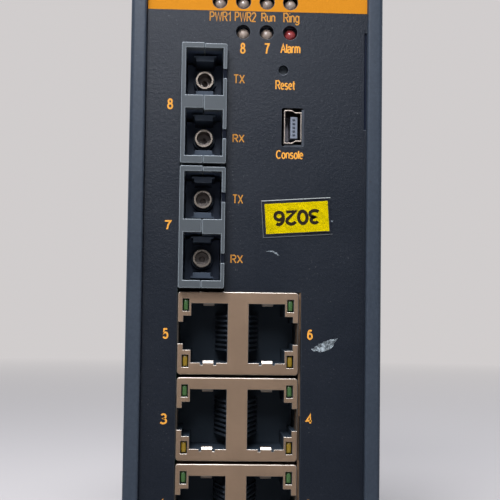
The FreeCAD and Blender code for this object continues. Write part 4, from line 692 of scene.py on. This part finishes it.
class SWITCH_OT_case(bpy.types.Operator):
    """Finish the side profiles, the end plates and the back panel"""
    bl_idname = "switch.case"
    bl_label = "Case"

    def execute(self, context):
        case = context.scene.switch_case
        coat = coated("Side coat", case.coat_colour, 1500.0, 0.004 * MM, 0.40, 0.28)
        plate = coated("Plate coat", case.plate_colour, 1.0 / case.grain_size, 0.04 * MM, 0.52, 0.4)
        finished(coat, case.edge_radius, "left_side_profile", "right_side_profile")
        finished(plate, case.edge_radius, "top_plate", "bottom_plate", "back_panel")
        return {"FINISHED"}


class SWITCH_OT_front_panel(bpy.types.Operator):
    """Finish the front panel, and paint shade into the slot at its right edge and the joint at its left
    edge
    """
    bl_idname = "switch.front_panel"
    bl_label = "Front panel"

    def execute(self, context):
        case = context.scene.switch_case
        # Painted highlight: a lighter colour on the panel's rounded edges and front folds, where they
        # would catch light
        rim = plastic("Worn coat edge", (0.030, 0.036, 0.046), 0.4, 1.0 / case.grain_size, 0.02 * MM)
        finished(panel_coat("Front panel coat", case), 0.10 * MM, "front_panel", worn=rim)
        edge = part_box("right_side_profile")[1].x - BEAD_WIDTH
        slot = plastic("Slot shade", (0.008, 0.012, 0.026), 0.7, Specular_IOR_Level=0.1)
        # Painted shade: a dark strip behind the slot, and one along the joint, partly the joint's gap and
        # partly the bead's shadow on the panel
        rectangle("painted_slot_shade", edge - SLOT_WIDTH, edge + SHADE_OVERLAP, OPTICS_TOP - SLOT_BELOW,
                  OPTICS_TOP + SLOT_ABOVE, PANEL_FACE_Y + SLOT_DEPTH, slot, "front_panel")
        rectangle("joint_shade", -edge - SHADE_OVERLAP, -edge + JOINT_WIDTH, PANEL_LOW.z, PANEL_HIGH.z,
                  PANEL_FACE_Y - INK_THICKNESS, painted_joint_shade(), "front_panel")
        return {"FINISHED"}


class SWITCH_OT_print(bpy.types.Operator):
    """Print the function legends and the port numbers on the front panel"""
    bl_idname = "switch.panel_print"
    bl_label = "Panel print"

    # Words with the left, right, bottom and top of their print and its stroke, in millimetres
    LEGENDS = (
        ("PWR1", -10.17, -5.66, 119.27, 121.40, 0.25), ("PWR2", -4.84, -0.27, 119.30, 121.44, 0.25),
        ("Run", 0.79, 3.79, 119.37, 121.35, 0.26), ("Ring", 5.49, 8.93, 118.80, 121.46, 0.26),
        ("Alarm", 4.93, 9.21, 112.70, 114.84, 0.30), ("Reset", 3.97, 8.26, 104.90, 106.92, 0.27),
        ("Console", 4.27, 10.05, 90.16, 92.07, 0.27), ("TX", -4.95, -2.51, 106.01, 108.01, 0.24),
        ("RX", -4.93, -2.42, 93.46, 95.24, 0.24), ("TX", -4.79, -2.51, 80.50, 82.49, 0.24),
        ("RX", -5.00, -2.38, 67.95, 69.79, 0.24), ("8", -3.60, -2.45, 112.43, 114.79, 0.34),
        ("7", 1.45, 2.67, 112.42, 114.82, 0.34), ("8", -18.80, -17.54, 100.27, 102.58, 0.36),
        ("7", -19.01, -17.49, 74.73, 76.83, 0.36), ("5", -18.92, -17.69, 52.02, 54.27, 0.36),
        ("6", 11.27, 12.47, 52.20, 54.37, 0.36), ("3", -19.16, -17.65, 34.38, 36.65, 0.36),
        ("4", 11.15, 12.57, 34.67, 36.83, 0.36), ("1", -18.85, -18.10, 16.75, 19.03, 0.36),
        ("2", 11.15, 12.50, 16.85, 19.10, 0.36),
    )
    # Thinner strokes than this are printed fainter
    THIN_STROKE = 0.265

    def execute(self, context):
        case = context.scene.switch_case
        grain_scale = 1.0 / case.grain_size
        ink, tree, shader = plain_material("Legend ink", case.ink_colour, 0.75, Specular_IOR_Level=0.2)
        grain = effect(tree, "Powder grain", Scale=grain_scale)
        mixed_in(tree, shader, scaled(case.ink_colour, 0.72), grain["Speckle"], 0.5)
        bumped(tree, shader, grain["Height"], 0.3, 0.02 * MM)
        thin = plastic("Thin legend ink", scaled(case.ink_colour, 0.62), 0.75, grain_scale, 0.02 * MM,
                       Specular_IOR_Level=0.2)
        for place, (text, *box, stroke) in enumerate(self.LEGENDS):
            printed(f"legend_{place:02d}_{text}", text, [edge * MM for edge in box],
                    PANEL_FACE_Y - INK_THICKNESS, stroke * MM,
                    thin if stroke < self.THIN_STROKE else ink, "front_panel")
        return {"FINISHED"}


@made_once
def lens_plastic(name, base):
    """Clear plastic of a lamp."""
    material, tree, shader = plain_material(name, base, 0.15, Transmission_Weight=0.45, IOR=1.45,
                                            Coat_Weight=1.0, Coat_Roughness=0.05)
    marks = effect(tree, "Handling marks", Scale=900.0)
    mixed_in(tree, shader, scaled(base, 0.7), marks["Patch"])
    bumped(tree, shader, marks["Patch"], 0.15, 0.02 * MM)
    return material


# How far a lamp sits to the right of its hole's middle, and below it
LAMP_RIGHT, LAMP_DOWN = 0.09 * MM, 0.12 * MM
# The dome's radius as a share of its CAD solid's, and the cup's place behind the front in dome radii
DOME_SHARE, CUP_PLACE = 0.74, 1.35
# How much smaller the flange's radius is than the solid's, and its thickness
FLANGE_PLAY, FLANGE_THICKNESS = 0.15 * MM, 1.0 * MM
# The cup's outline: millimetres from its axis, and behind its rim
CUP_OUTLINE = ((0, 0.5), (0.22, 0.45), (0.62, 0), (0.72, 0), (0.72, 1.2), (0, 1.2))


def lamp(node, name, box, lens):
    """A lamp in the box of its CAD solid: a flanged and domed lens with a cup in it."""
    low, high = box
    centre = ((low.x + high.x) / 2 + LAMP_RIGHT, (low.z + high.z) / 2 - LAMP_DOWN)
    half = (high.x - low.x) / 2
    radius = half * DOME_SHARE
    flange = half - FLANGE_PLAY
    flange_front = high.y - FLANGE_THICKNESS
    dome_base = low.y + radius
    outline = [(0.0, high.y), (flange, high.y), (flange, flange_front), (radius, flange_front),
               (radius, dome_base)]
    outline += [(radius * math.cos(math.radians(a)), dome_base - radius * math.sin(math.radians(a)))
                for a in range(10, 81, 10)]
    dome = lathed(f"lamp_{name}_lens", outline + [(0.0, low.y)], centre, 48, lens, node)
    rim = low.y + radius * CUP_PLACE
    cup = [(x * MM, rim + y * MM) for x, y in CUP_OUTLINE]
    lathed(f"lamp_{name}_cup", cup, centre, 32, zinc_plate(), node)
    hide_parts(node)


class SWITCH_OT_indicators(bpy.types.Operator):
    """Build the indicator lamps: domed lens, flange and reflector cup"""
    bl_idname = "switch.indicators"
    bl_label = "Indicators"

    def execute(self, context):
        port = context.scene.switch_port
        clear = lens_plastic("Clear lens", port.clear_lens)
        for place, box in enumerate(loose_boxes("status_leds"), 1):
            lamp("status_leds", f"status_{place}", box, clear)
        lamp("alarm_led", "alarm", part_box("alarm_led"), lens_plastic("Red lens", port.red_lens))
        return {"FINISHED"}


def key_slot_shades(row):
    """A dark strip in each key slot of a transceiver's right wall: painted shade in the slot."""
    node = f"optic_{row}_right_shell"
    wall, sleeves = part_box(node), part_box(f"optic_{row}_sleeves")
    left, right = (wall[1].x - side for side in KEY_SHADE_SIDES)
    radius = (sleeves[1].x - sleeves[0].x) / 2
    for way, bay in (("tx", sleeves[1].z - radius), ("rx", sleeves[0].z + radius)):
        middle = bay - KEY_SHADE_DROP
        rectangle(f"key_slot_{row}_{way}", left, right, middle - KEY_SHADE_REACH, middle + KEY_SHADE_REACH,
                  wall[0].y + KEY_SHADE_DEPTH, painted_joint_shade(), node)


class SWITCH_OT_transceivers(bpy.types.Operator):
    """Finish the two fibre transceivers: shell halves, inner adapters and sleeves"""
    bl_idname = "switch.transceivers"
    bl_label = "Fibre transceivers"

    def execute(self, context):
        port = context.scene.switch_port
        shell = plastic("Transceiver plastic", port.optic_colour, 0.38, Specular_IOR_Level=0.2)
        # Lighter edges of the shells: partly wear, partly a painted highlight
        worn = plastic("Worn plastic edge", scaled(port.optic_colour, 2.6), 0.3)
        sleeve = metal("Fibre sleeve", port.sleeve_colour, 0.38, metallic=0.7)
        adapter = plastic("Adapter plastic", port.adapter_colour, 0.40, Specular_IOR_Level=0.2)
        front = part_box("optic_upper_left_shell")[0].y
        # Painted shading deep in the fibre bays: the shells' inside turns bluer, and the adapters' deep
        # plate lighter and bluer, partly a blue adapter plate, partly painted light against the shade
        painted_depth_shading(shell, front, 2.5, 3.2, (0.062, 0.082, 0.125))
        painted_depth_shading(adapter, front, 13.4, 14.0, (0.070, 0.092, 0.140))
        # Painted shade inside the sleeves
        painted_depth_shading(sleeve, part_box("optic_upper_sleeves")[0].y, 0.2, 1.6, (0.34, 0.29, 0.26))
        for row in ("upper", "lower"):
            finished(shell, 0.15 * MM, f"optic_{row}_left_shell", f"optic_{row}_right_shell",
                     segments=3, worn=worn)
            finished(adapter, 0.10 * MM, f"optic_{row}_adapters")
            key_slot_shades(row)
            finished(sleeve, 0.08 * MM, f"optic_{row}_sleeves")
        return {"FINISHED"}


# Play of a light pipe in its well, and the rounding of its end
WINDOW_PLAY, WINDOW_ROUNDING = 0.13 * MM, 0.38 * MM


def window(name, box, material, node):
    """A light pipe's rounded end, a little narrower than its well."""
    play = Vector((WINDOW_PLAY, 0, WINDOW_PLAY))
    low, high = box[0] + play, box[1] - play

    def build(shape):
        bmesh.ops.create_cube(shape, size=1.0)
        for corner in shape.verts:
            corner.co = [low[i] if corner.co[i] < 0 else high[i] for i in range(3)]
        front = [e for e in shape.edges if all(v.co.y < low.y + WINDOW_PLAY for v in e.verts)]
        bmesh.ops.bevel(shape, geom=front, offset=WINDOW_ROUNDING, segments=4, profile=0.5,
                        affect="EDGES")
    return built(name, build, material, node, 50)


def contact_strip(material):
    """The contact strip that fills the gap between the jacks and the cut-out's right edge."""
    # Millimetres from the jacks' right side, and behind the panel's face
    profile = ((-0.42, 0.75), (-0.42, 0.55), (-0.12, 0.45), (-0.06, 0.12), (0.0, 0.12), (0.0, 0.75))

    def build(shape):
        skin(shape, [[shape.verts.new((JACKS_HIGH.x + x * MM, PANEL_FACE_Y + y * MM, z))
                      for x, y in profile] for z in (JACKS_BOTTOM, JACKS_HIGH.z)])
    built("contact_strip", build, material, "jack_upper_shield")


class SWITCH_OT_jacks(bpy.types.Operator):
    """Finish the three two-port jacks: shields, housings, contacts and light windows"""
    bl_idname = "switch.jacks"
    bl_label = "Network jacks"

    def execute(self, context):
        port = context.scene.switch_port
        tin = metal("Jack tin", port.tin_colour, 0.38, 250.0, 2600.0, 0.001 * MM, 0.45)
        # Painted highlight: a lighter tin on the shields' rounded edges and front folds
        bright = metal("Bright tin edge", (0.54, 0.48, 0.41), 0.36)
        gold = metal("Gold flash", (0.36, 0.24, 0.09), 0.5, metallic=0.2)
        housing = plastic("Housing plastic", port.housing_colour, 0.6, Specular_IOR_Level=0.12)
        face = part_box("jack_upper_shield")[0].y
        # Painted shade deep in the ports, on the shields, their edges and the contacts
        painted_depth_shading(tin, face, 4.0, 6.0, (0.05, 0.045, 0.04))
        painted_depth_shading(bright, face, 4.0, 6.0, (0.05, 0.045, 0.04))
        painted_depth_shading(gold, face, -0.5, 1.2, (0.026, 0.035, 0.047))
        for row in ("upper", "middle", "lower"):
            finished(tin, 0.09 * MM, f"jack_{row}_shield", segments=3, worn=bright)
            finished(housing, 0.06 * MM, f"jack_{row}_housing")
            finished(gold, 0.04 * MM, f"jack_{row}_contacts")
        contact_strip(tin)
        for hue, base in (("green", port.green_window), ("yellow", port.yellow_window)):
            material = plastic(hue.capitalize() + " window", base, 0.18, 900.0, 0.02 * MM, Coat_Weight=0.5)
            node = f"jack_{hue}_windows"
            windows = [window(f"{node}_{place}", box, material, node)
                       for place, box in enumerate(loose_boxes(node), 1)]
            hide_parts(node)
        return {"FINISHED"}


# How far the insulating sheet is behind the panel's face, and how far it shows beside the console
# port's shell and above it
SHEET_DEPTH, SHEET_BESIDE, SHEET_ABOVE = 0.16 * MM, 0.7 * MM, 0.2 * MM
# Its gaps to the shell's side and bottom, and how far its lower strip is moved to the right
SHEET_SIDE_GAP, SHEET_BOTTOM_GAP, SHEET_SHIFT = 0.02 * MM, 0.12 * MM, 0.1 * MM


def insulating_sheet():
    """The insulating sheet behind the console cut-out, seen at the shell's right and below it."""
    low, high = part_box("console_shell")
    sheet = plastic("Insulating sheet", (0.030, 0.037, 0.050), 0.5)
    face = PANEL_FACE_Y + SHEET_DEPTH
    bottom = low.z - SHEET_BESIDE
    rectangle("console_sheet_right", high.x + SHEET_SIDE_GAP, high.x + SHEET_BESIDE, bottom,
              high.z + SHEET_ABOVE, face, sheet, "front_panel")
    rectangle("console_sheet_below", low.x + SHEET_SHIFT, high.x + SHEET_SHIFT, bottom,
              low.z - SHEET_BOTTOM_GAP, face, sheet, "front_panel")


class SWITCH_OT_console(bpy.types.Operator):
    """Finish the console port and the reset button"""
    bl_idname = "switch.console"
    bl_label = "Console port and reset"

    def execute(self, context):
        tin = metal("Port tin", (0.43, 0.36, 0.30), 0.36)
        tongue = plastic("Grey tongue", (0.16, 0.18, 0.22), 0.35)
        button = plastic("Button plastic", (0.075, 0.095, 0.115), 0.5)
        # Painted shade inside the console port's shell
        painted_depth_shading(tin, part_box("console_shell")[0].y, 0.15, 0.5, (0.14, 0.13, 0.14))
        finished(tin, 0.09 * MM, "console_shell")
        finished(tongue, 0.08 * MM, "console_tongue")
        finished(black_plastic(), 0.03 * MM, "console_contacts")
        finished(black_plastic(), 0.10 * MM, "reset_switch_body")
        finished(button, 0.12 * MM, "reset_button")
        insulating_sheet()
        return {"FINISHED"}


# Width of the film's and the tape's cut edges, and how far the tape's are inside the film's in
# millimetres
CUT_EDGE_WIDTH, TAPE_INSET = 0.16 * MM, (0.55, 0.65)


def cut_edges(label):
    """The cut edges of the film and the tape, with light and shade painted on: a painted highlight on the
    film's top edge, painted shade on its left and bottom edges, and a dark line along the tape's left,
    bottom and right painted as its shadow.
    """
    low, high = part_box("label_film")
    middle = Vector(((low.x + high.x) / 2, (low.z + high.z) / 2))
    turn = Matrix.Rotation(label.tilt, 2)
    wide, tall = high.x - low.x, high.z - low.z
    long_side = (wide * math.cos(label.tilt) - tall * math.sin(label.tilt)) / math.cos(2 * label.tilt)
    short_side = (tall - long_side * math.sin(label.tilt)) / math.cos(label.tilt)
    film = Vector((long_side, short_side)) / 2 - Vector((CUT_EDGE_WIDTH, CUT_EDGE_WIDTH)) / 2
    tape = film - Vector(TAPE_INSET) * MM
    face = low.y - INK_THICKNESS / 2
    bright = plastic("Film edge in light", (0.36, 0.38, 0.36), 0.3)
    dim = plastic("Film edge in shade", (0.065, 0.070, 0.072), 0.4)
    dark = plastic("Tape edge in shade", (0.004, 0.004, 0.004), 0.6)

    def strip(name, points, size, material, y):
        corners = [middle + turn @ Vector((x * size.x, z * size.y)) for x, z in points]
        built(name, lambda shape: ribbon(shape, corners, CUT_EDGE_WIDTH, y), material, "label_film")
    strip("film_edge_top", ((-1, 1), (1, 1)), film, bright, face)
    strip("film_edge_left", ((-1, 1), (-1, -1), (1, -1)), film, dim, face - LAYER_STEP)
    strip("tape_edge", ((-1, 1), (-1, -1), (1, -1), (1, 1)), tape, dark, face + INK_THICKNESS)


class SWITCH_OT_label(bpy.types.Operator):
    """Finish the tape label, its number and the clear film over it"""
    bl_idname = "switch.label"
    bl_label = "Tape label"

    def execute(self, context):
        label = context.scene.switch_label
        tape, tree, shader = plain_material("Label tape", label.tape_colour, 0.7, Specular_IOR_Level=0.0)
        marks = effect(tree, "Handling marks", Scale=150.0)
        mixed_in(tree, shader, scaled(label.tape_colour, 0.93), marks["Patch"])
        film, tree, shader = plain_material("Clear film", (0.02, 0.02, 0.02), 0.3, Alpha=0.02,
                                            Specular_IOR_Level=0.1)
        marks = effect(tree, "Handling marks", Scale=400.0)
        bumped(tree, shader, marks["Patch"], 0.2, 0.03 * MM)
        finished(tape, 0.03 * MM, "label_tape")
        finished(film, 0.025 * MM, "label_film")
        low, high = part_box("label_tape")
        middle = (low + high) / 2
        half = Vector((label.number_width / 2, label.number_height / 2))
        mark = plastic("Label print", label.mark_colour, 0.6, Specular_IOR_Level=0.05)
        box = (middle.x - half.x, middle.x + half.x, middle.z - half.y, middle.z + half.y)
        printed("label_number", label.number, box, low.y - INK_THICKNESS, label.number_stroke, mark,
                "label_tape", math.pi + label.tilt)
        cut_edges(label)
        return {"FINISHED"}


SPRING_TURNS, STEPS_PER_TURN = 7, 28
WIRE_RADIUS, WIRE_SIDES = 0.25 * MM, 8


def wind_spring(material):
    """The latch spring as a round wire."""
    low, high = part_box("latch_spring")
    centre = (low + high) / 2
    radius = (high.x - low.x) / 2 - WIRE_RADIUS
    run = high.z - low.z - 2 * WIRE_RADIUS
    steps = SPRING_TURNS * STEPS_PER_TURN

    def ring(shape, share):
        turn = math.tau * SPRING_TURNS * share
        out = Vector((math.cos(turn), math.sin(turn), 0))
        here = Vector((centre.x, centre.y, low.z + WIRE_RADIUS + run * share)) + out * radius
        angles = [math.tau * k / WIRE_SIDES for k in range(WIRE_SIDES)]
        ways = [out * math.cos(a) + Vector((0, 0, 1)) * math.sin(a) for a in angles]
        return [shape.verts.new(here + way * WIRE_RADIUS) for way in ways]
    spring = built("wound_latch_spring",
                   lambda shape: skin(shape, [ring(shape, i / steps) for i in range(steps + 1)]),
                   material, "latch_spring", 60)
    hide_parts("latch_spring")
    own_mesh(spring)


class SWITCH_OT_rail_clip(bpy.types.Operator):
    """Finish the rail clip and wind its latch spring"""
    bl_idname = "switch.rail_clip"
    bl_label = "Rail clip"

    def execute(self, context):
        cast = metal("Cast clip", (0.42, 0.43, 0.44), 0.45, 2500.0, 2500.0, 0.02 * MM)
        finished(cast, 0.2 * MM, "rail_clip_base", "rail_latch")
        finished(zinc_plate(), 0.05 * MM, "rail_clip_screws")
        finished(zinc_plate(), 0.08 * MM, "rail_clip_nuts")
        wind_spring(metal("Spring steel", (0.45, 0.45, 0.46), 0.25))
        return {"FINISHED"}


class SWITCH_OT_terminal(bpy.types.Operator):
    """Finish the pluggable terminal and its header"""
    bl_idname = "switch.terminal"
    bl_label = "Terminal"

    def execute(self, context):
        green = plastic("Terminal green", (0.012, 0.22, 0.085), 0.38)
        finished(green, 0.12 * MM, "terminal_header", "terminal_plug")
        finished(zinc_plate(), 0.06 * MM, "terminal_screws")
        finished(zinc_plate(), 0.05 * MM, "terminal_clamps")
        finished(zinc_plate(), 0.08 * MM, "header_pins")
        return {"FINISHED"}


class SWITCH_OT_fasteners(bpy.types.Operator):
    """Finish the plate screws, the ground screw and its washer"""
    bl_idname = "switch.fasteners"
    bl_label = "Fasteners"

    def execute(self, context):
        black = metal("Black zinc", (0.045, 0.045, 0.05), 0.38)
        finished(black, 0.05 * MM, "top_plate_screws", "bottom_plate_screws")
        finished(zinc_plate(), 0.08 * MM, "ground_screw", "ground_washer")
        return {"FINISHED"}


class SWITCH_OT_boards(bpy.types.Operator):
    """Finish the boards and the components inside the case"""
    bl_idname = "switch.boards"
    bl_label = "Boards"

    def execute(self, context):
        keep(plastic("Solder mask", (0.010, 0.085, 0.035), 0.35, 900.0),
             "main_board", "power_board", "link_board")
        keep(plastic("Dark solder mask", (0.010, 0.015, 0.034), 0.5), "indicator_board")
        keep(metal("Nickel brass", (0.62, 0.58, 0.48), 0.3), "board_spacers")
        keep(zinc_plate(), "board_screws")
        keep(black_plastic(), "switch_chip")
        keep(metal("Black anodised", (0.05, 0.05, 0.055), 0.45), "chip_heatsink")
        keep(plastic("Winding tape", (0.42, 0.25, 0.04), 0.3), "power_transformer")
        keep(plastic("Capacitor sleeve", (0.02, 0.02, 0.035), 0.25), "power_capacitors")
        keep(plastic("Relay case", (0.7, 0.71, 0.71), 0.35), "alarm_relay")
        return {"FINISHED"}


class SWITCH_OT_wear(bpy.types.Operator):
    """Add the light scuffs and nicks that the front shows"""
    bl_idname = "switch.wear"
    bl_label = "Wear marks"

    # Marks as corners in millimetres: x from the middle, z from the floor
    SCUFFS = {
        "scuff_by_upper_jack": (
            (12.1, 50.3), (12.7, 49.8), (13.4, 49.9), (14.0, 49.6), (15.0, 49.9), (16.0, 50.2),
            (16.7, 50.8), (17.1, 51.8), (17.8, 52.7), (17.0, 52.4), (16.0, 52.3), (14.8, 51.8),
            (14.4, 51.5), (13.7, 51.4), (13.5, 51.0), (12.7, 50.8), (12.9, 50.5)),
        "scratch_above_jacks": (
            (2.1, 70.5), (3.0, 70.7), (3.9, 70.7), (4.6, 70.4), (5.3, 69.8), (5.1, 69.7), (4.4, 70.1),
            (3.7, 70.5), (3.0, 70.6)),
        "speck_by_label": ((16.1, 77.1), (16.4, 77.0), (16.5, 77.3), (16.2, 77.4)),
        "speck_by_bead": ((21.3, 100.2), (21.5, 100.1), (21.55, 100.25), (21.4, 100.35)),
    }
    NICKS = {
        "nick_in_bead": ((23.82, 85.45), (24.30, 85.38), (24.42, 85.55), (24.05, 85.66)),
        "small_nick_in_bead": ((23.80, 70.50), (24.00, 70.45), (24.08, 70.60), (23.86, 70.68)),
    }

    def execute(self, context):
        base = context.scene.switch_case.scuff_colour
        bare, tree, shader = plain_material("Scuffed coat", base, 0.7, Specular_IOR_Level=0.3)
        grain = effect(tree, "Powder grain", Scale=1600.0)
        mixed_in(tree, shader, scaled(base, 0.4), grain["Speckle"])
        tree.links.new(ramp(tree, grain["Height"], 0.78, 0.98, 1.0, 0.45), shader.inputs["Alpha"])
        bumped(tree, shader, grain["Height"], 0.5, 0.03 * MM)
        dent = plastic("Dent", (0.010, 0.012, 0.018), 0.6)
        bead_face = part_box("right_side_profile")[0].y
        for marks, material, face in ((self.SCUFFS, bare, PANEL_FACE_Y), (self.NICKS, dent, bead_face)):
            for name, corners in marks.items():
                flat_shape(name, [(x * MM, z * MM) for x, z in corners], face - INK_THICKNESS, material,
                           "front_panel")
        return {"FINISHED"}


# Stage

def stage_lamp(name, place, aim, size, energy):
    """A square soft lamp that points at a place."""
    light = bpy.data.lights.new(name, "AREA")
    light.shape = "SQUARE"
    light.size = size
    light.energy = energy
    light.color = (0.95, 0.98, 1.06)
    piece = link(name, light)
    piece.location = place
    piece.rotation_mode = "QUATERNION"
    piece.rotation_quaternion = (Vector(aim) - Vector(place)).to_track_quat("-Z", "Y")


def pale_room(stage):
    """Even light, with the pale background seen by the camera and in metal and glass."""
    world = bpy.data.worlds.new("Pale room")
    bpy.context.scene.world = world
    world.use_nodes = True
    tree = world.node_tree
    shown = tree.nodes["Background"]
    fill_in(tree, shown, {"Color": (*stage.backdrop_colour, 1.0), "Strength": 1.0})
    y, z = new_node(tree, "SeparateXYZ", Vector=new_node(tree, "TexCoord")["Generated"])[1:]
    bright = math_node(tree, "MAXIMUM", ramp(tree, z, 0.0, 0.75), ramp(tree, y, -0.25, 0.5))
    path = new_node(tree, "LightPath")
    glossy = math_node(tree, "MAXIMUM", path["Is Glossy Ray"], path["Is Transmission Ray"])
    share = ramp(tree, glossy, 0.0, 1.0, stage.world_level, 1.0)
    least = ramp(tree, glossy, 0.0, 1.0, stage.front_fill, stage.front_level)
    rest = math_node(tree, "MULTIPLY", bright, math_node(tree, "SUBTRACT", 1.0, least))
    strength = math_node(tree, "MULTIPLY", math_node(tree, "ADD", least, rest), share)
    room = new_node(tree, "Background", Color=(0.88, 0.95, 1.08, 1.0), Strength=strength)
    blended(tree, path["Is Camera Ray"], room[0], shown.outputs[0], "World Output")


def pale_floor(stage):
    """A wide floor. It is darker in front of the object in glossy reflections, and the camera sees it
    fade into the background."""
    reach, drop = 4.0, 0.05 * MM
    # Where each begins and is full: the dark along Y, and the fade away from the middle
    dark_from, dark_full = 0.02, -0.06
    fade_from, fade_full = 0.2, 1.1
    base = stage.floor_colour
    material, tree, shader = plain_material("Pale floor", base, 0.8, Specular_IOR_Level=0.1)
    bumped(tree, shader, effect(tree, "Powder grain", Scale=400.0)["Height"], 0.1, 0.2 * MM)
    path = new_node(tree, "LightPath")
    front = ramp(tree, object_axes(tree)[1], dark_from, dark_full)
    mixed_in(tree, shader, scaled(base, 0.2), front, path["Is Glossy Ray"])
    distance = tree.nodes.new("ShaderNodeVectorMath")
    distance.operation = "LENGTH"
    tree.links.new(object_vector(tree), distance.inputs[0])
    far = ramp(tree, distance.outputs["Value"], fade_from, fade_full, 0.1, 1.0)
    pale = new_node(tree, "Emission", Color=(*stage.backdrop_colour, 1.0))
    blended(tree, math_node(tree, "MULTIPLY", far, path["Is Camera Ray"]), shader.outputs[0], pale[0],
            "Material Output")
    corners = ((-reach, -reach), (reach, -reach), (reach, reach), (-reach, reach))
    built("floor", lambda shape: shape.faces.new([shape.verts.new((x, y, -drop))
                                                           for x, y in corners]), material)


def photo_camera(stage):
    """The camera at the photograph's viewing angle."""
    pitch, yaw, roll = stage.camera_pitch, stage.camera_yaw, stage.camera_roll
    forward = Vector((math.cos(pitch) * math.sin(yaw), math.cos(pitch) * math.cos(yaw), math.sin(pitch)))
    level = Vector((math.cos(yaw), -math.sin(yaw), 0))
    above = Vector((-math.sin(pitch) * math.sin(yaw), -math.sin(pitch) * math.cos(yaw), math.cos(pitch)))
    right = level * math.cos(roll) + above * math.sin(roll)
    up = above * math.cos(roll) - level * math.sin(roll)
    data = bpy.data.cameras.new("Camera")
    data.sensor_width = 36.0
    data.lens = data.sensor_width * stage.lens_share
    data.clip_start = 0.01
    data.clip_end = 20.0
    camera = link("Camera", data)
    place = Vector((stage.camera_side, PANEL_FACE_Y - stage.camera_distance,
                    JACKS_HIGH.z - stage.camera_drop))
    turn = Matrix((right, up, -forward)).transposed()
    camera.matrix_world = Matrix.Translation(place) @ turn.to_4x4()
    bpy.context.scene.camera = camera


class SWITCH_OT_stage(bpy.types.Operator):
    """Set up the floor, the background, the lamps and the camera"""
    bl_idname = "switch.stage"
    bl_label = "Stage"

    def execute(self, context):
        stage = context.scene.switch_stage
        context.scene.view_settings.view_transform = "Standard"
        pale_room(stage)
        pale_floor(stage)
        stage_lamp("key_lamp", (-0.14, -0.39, 0.41), (0.0, -0.05, 0.08), 0.16, stage.key_power)
        stage_lamp("sheen_lamp", (-0.03, -0.42, 0.25), (0.0, -0.05, 0.10), 0.10, stage.sheen_power)
        stage_lamp("top_lamp", (-0.03, -0.11, 0.50), (0.0, -0.05, 0.07), 0.20, stage.top_power)
        stage_lamp("rear_lamp", (0.35, 0.60, 0.50), (0.0, 0.0, 0.07), 0.4, stage.rear_power)
        photo_camera(stage)
        return {"FINISHED"}


class SWITCH_PT_panel(bpy.types.Panel):
    """The build steps and settings of the switch"""
    bl_label = "Ethernet switch"
    bl_idname = "SWITCH_PT_panel"
    bl_space_type = "VIEW_3D"
    bl_region_type = "UI"
    bl_category = "Ethernet Switch"

    def draw(self, context):
        layout = self.layout
        for operator in OPERATORS:
            layout.operator(operator.bl_idname)
        for name, group in SETTINGS.items():
            column = layout.box().column()
            for setting in group.__annotations__:
                column.prop(getattr(context.scene, name), setting)


OPERATORS = (
    SWITCH_OT_case, SWITCH_OT_front_panel, SWITCH_OT_print, SWITCH_OT_indicators,
    SWITCH_OT_transceivers, SWITCH_OT_jacks, SWITCH_OT_console, SWITCH_OT_label, SWITCH_OT_rail_clip,
    SWITCH_OT_terminal, SWITCH_OT_fasteners, SWITCH_OT_boards, SWITCH_OT_wear, SWITCH_OT_stage,
)
SETTINGS = {
    "switch_case": SwitchCaseSettings,
    "switch_port": SwitchPortSettings,
    "switch_label": SwitchLabelSettings,
    "switch_stage": SwitchStageSettings,
}


def register():
    for group in SETTINGS.values():
        bpy.utils.register_class(group)
    for name, group in SETTINGS.items():
        setattr(bpy.types.Scene, name, PointerProperty(type=group))
    for operator in OPERATORS:
        bpy.utils.register_class(operator)
    bpy.utils.register_class(SWITCH_PT_panel)


def unregister():
    bpy.utils.unregister_class(SWITCH_PT_panel)
    for operator in reversed(OPERATORS):
        bpy.utils.unregister_class(operator)
    for name in SETTINGS:
        delattr(bpy.types.Scene, name)
    for group in reversed(SETTINGS.values()):
        bpy.utils.unregister_class(group)


def main():
    register()
    bpy.ops.switch.case()
    bpy.ops.switch.front_panel()
    bpy.ops.switch.panel_print()
    bpy.ops.switch.indicators()
    bpy.ops.switch.transceivers()
    bpy.ops.switch.jacks()
    bpy.ops.switch.console()
    bpy.ops.switch.label()
    bpy.ops.switch.rail_clip()
    bpy.ops.switch.terminal()
    bpy.ops.switch.fasteners()
    bpy.ops.switch.boards()
    bpy.ops.switch.wear()
    bpy.ops.switch.stage()


if __name__ == "__main__":
    main()
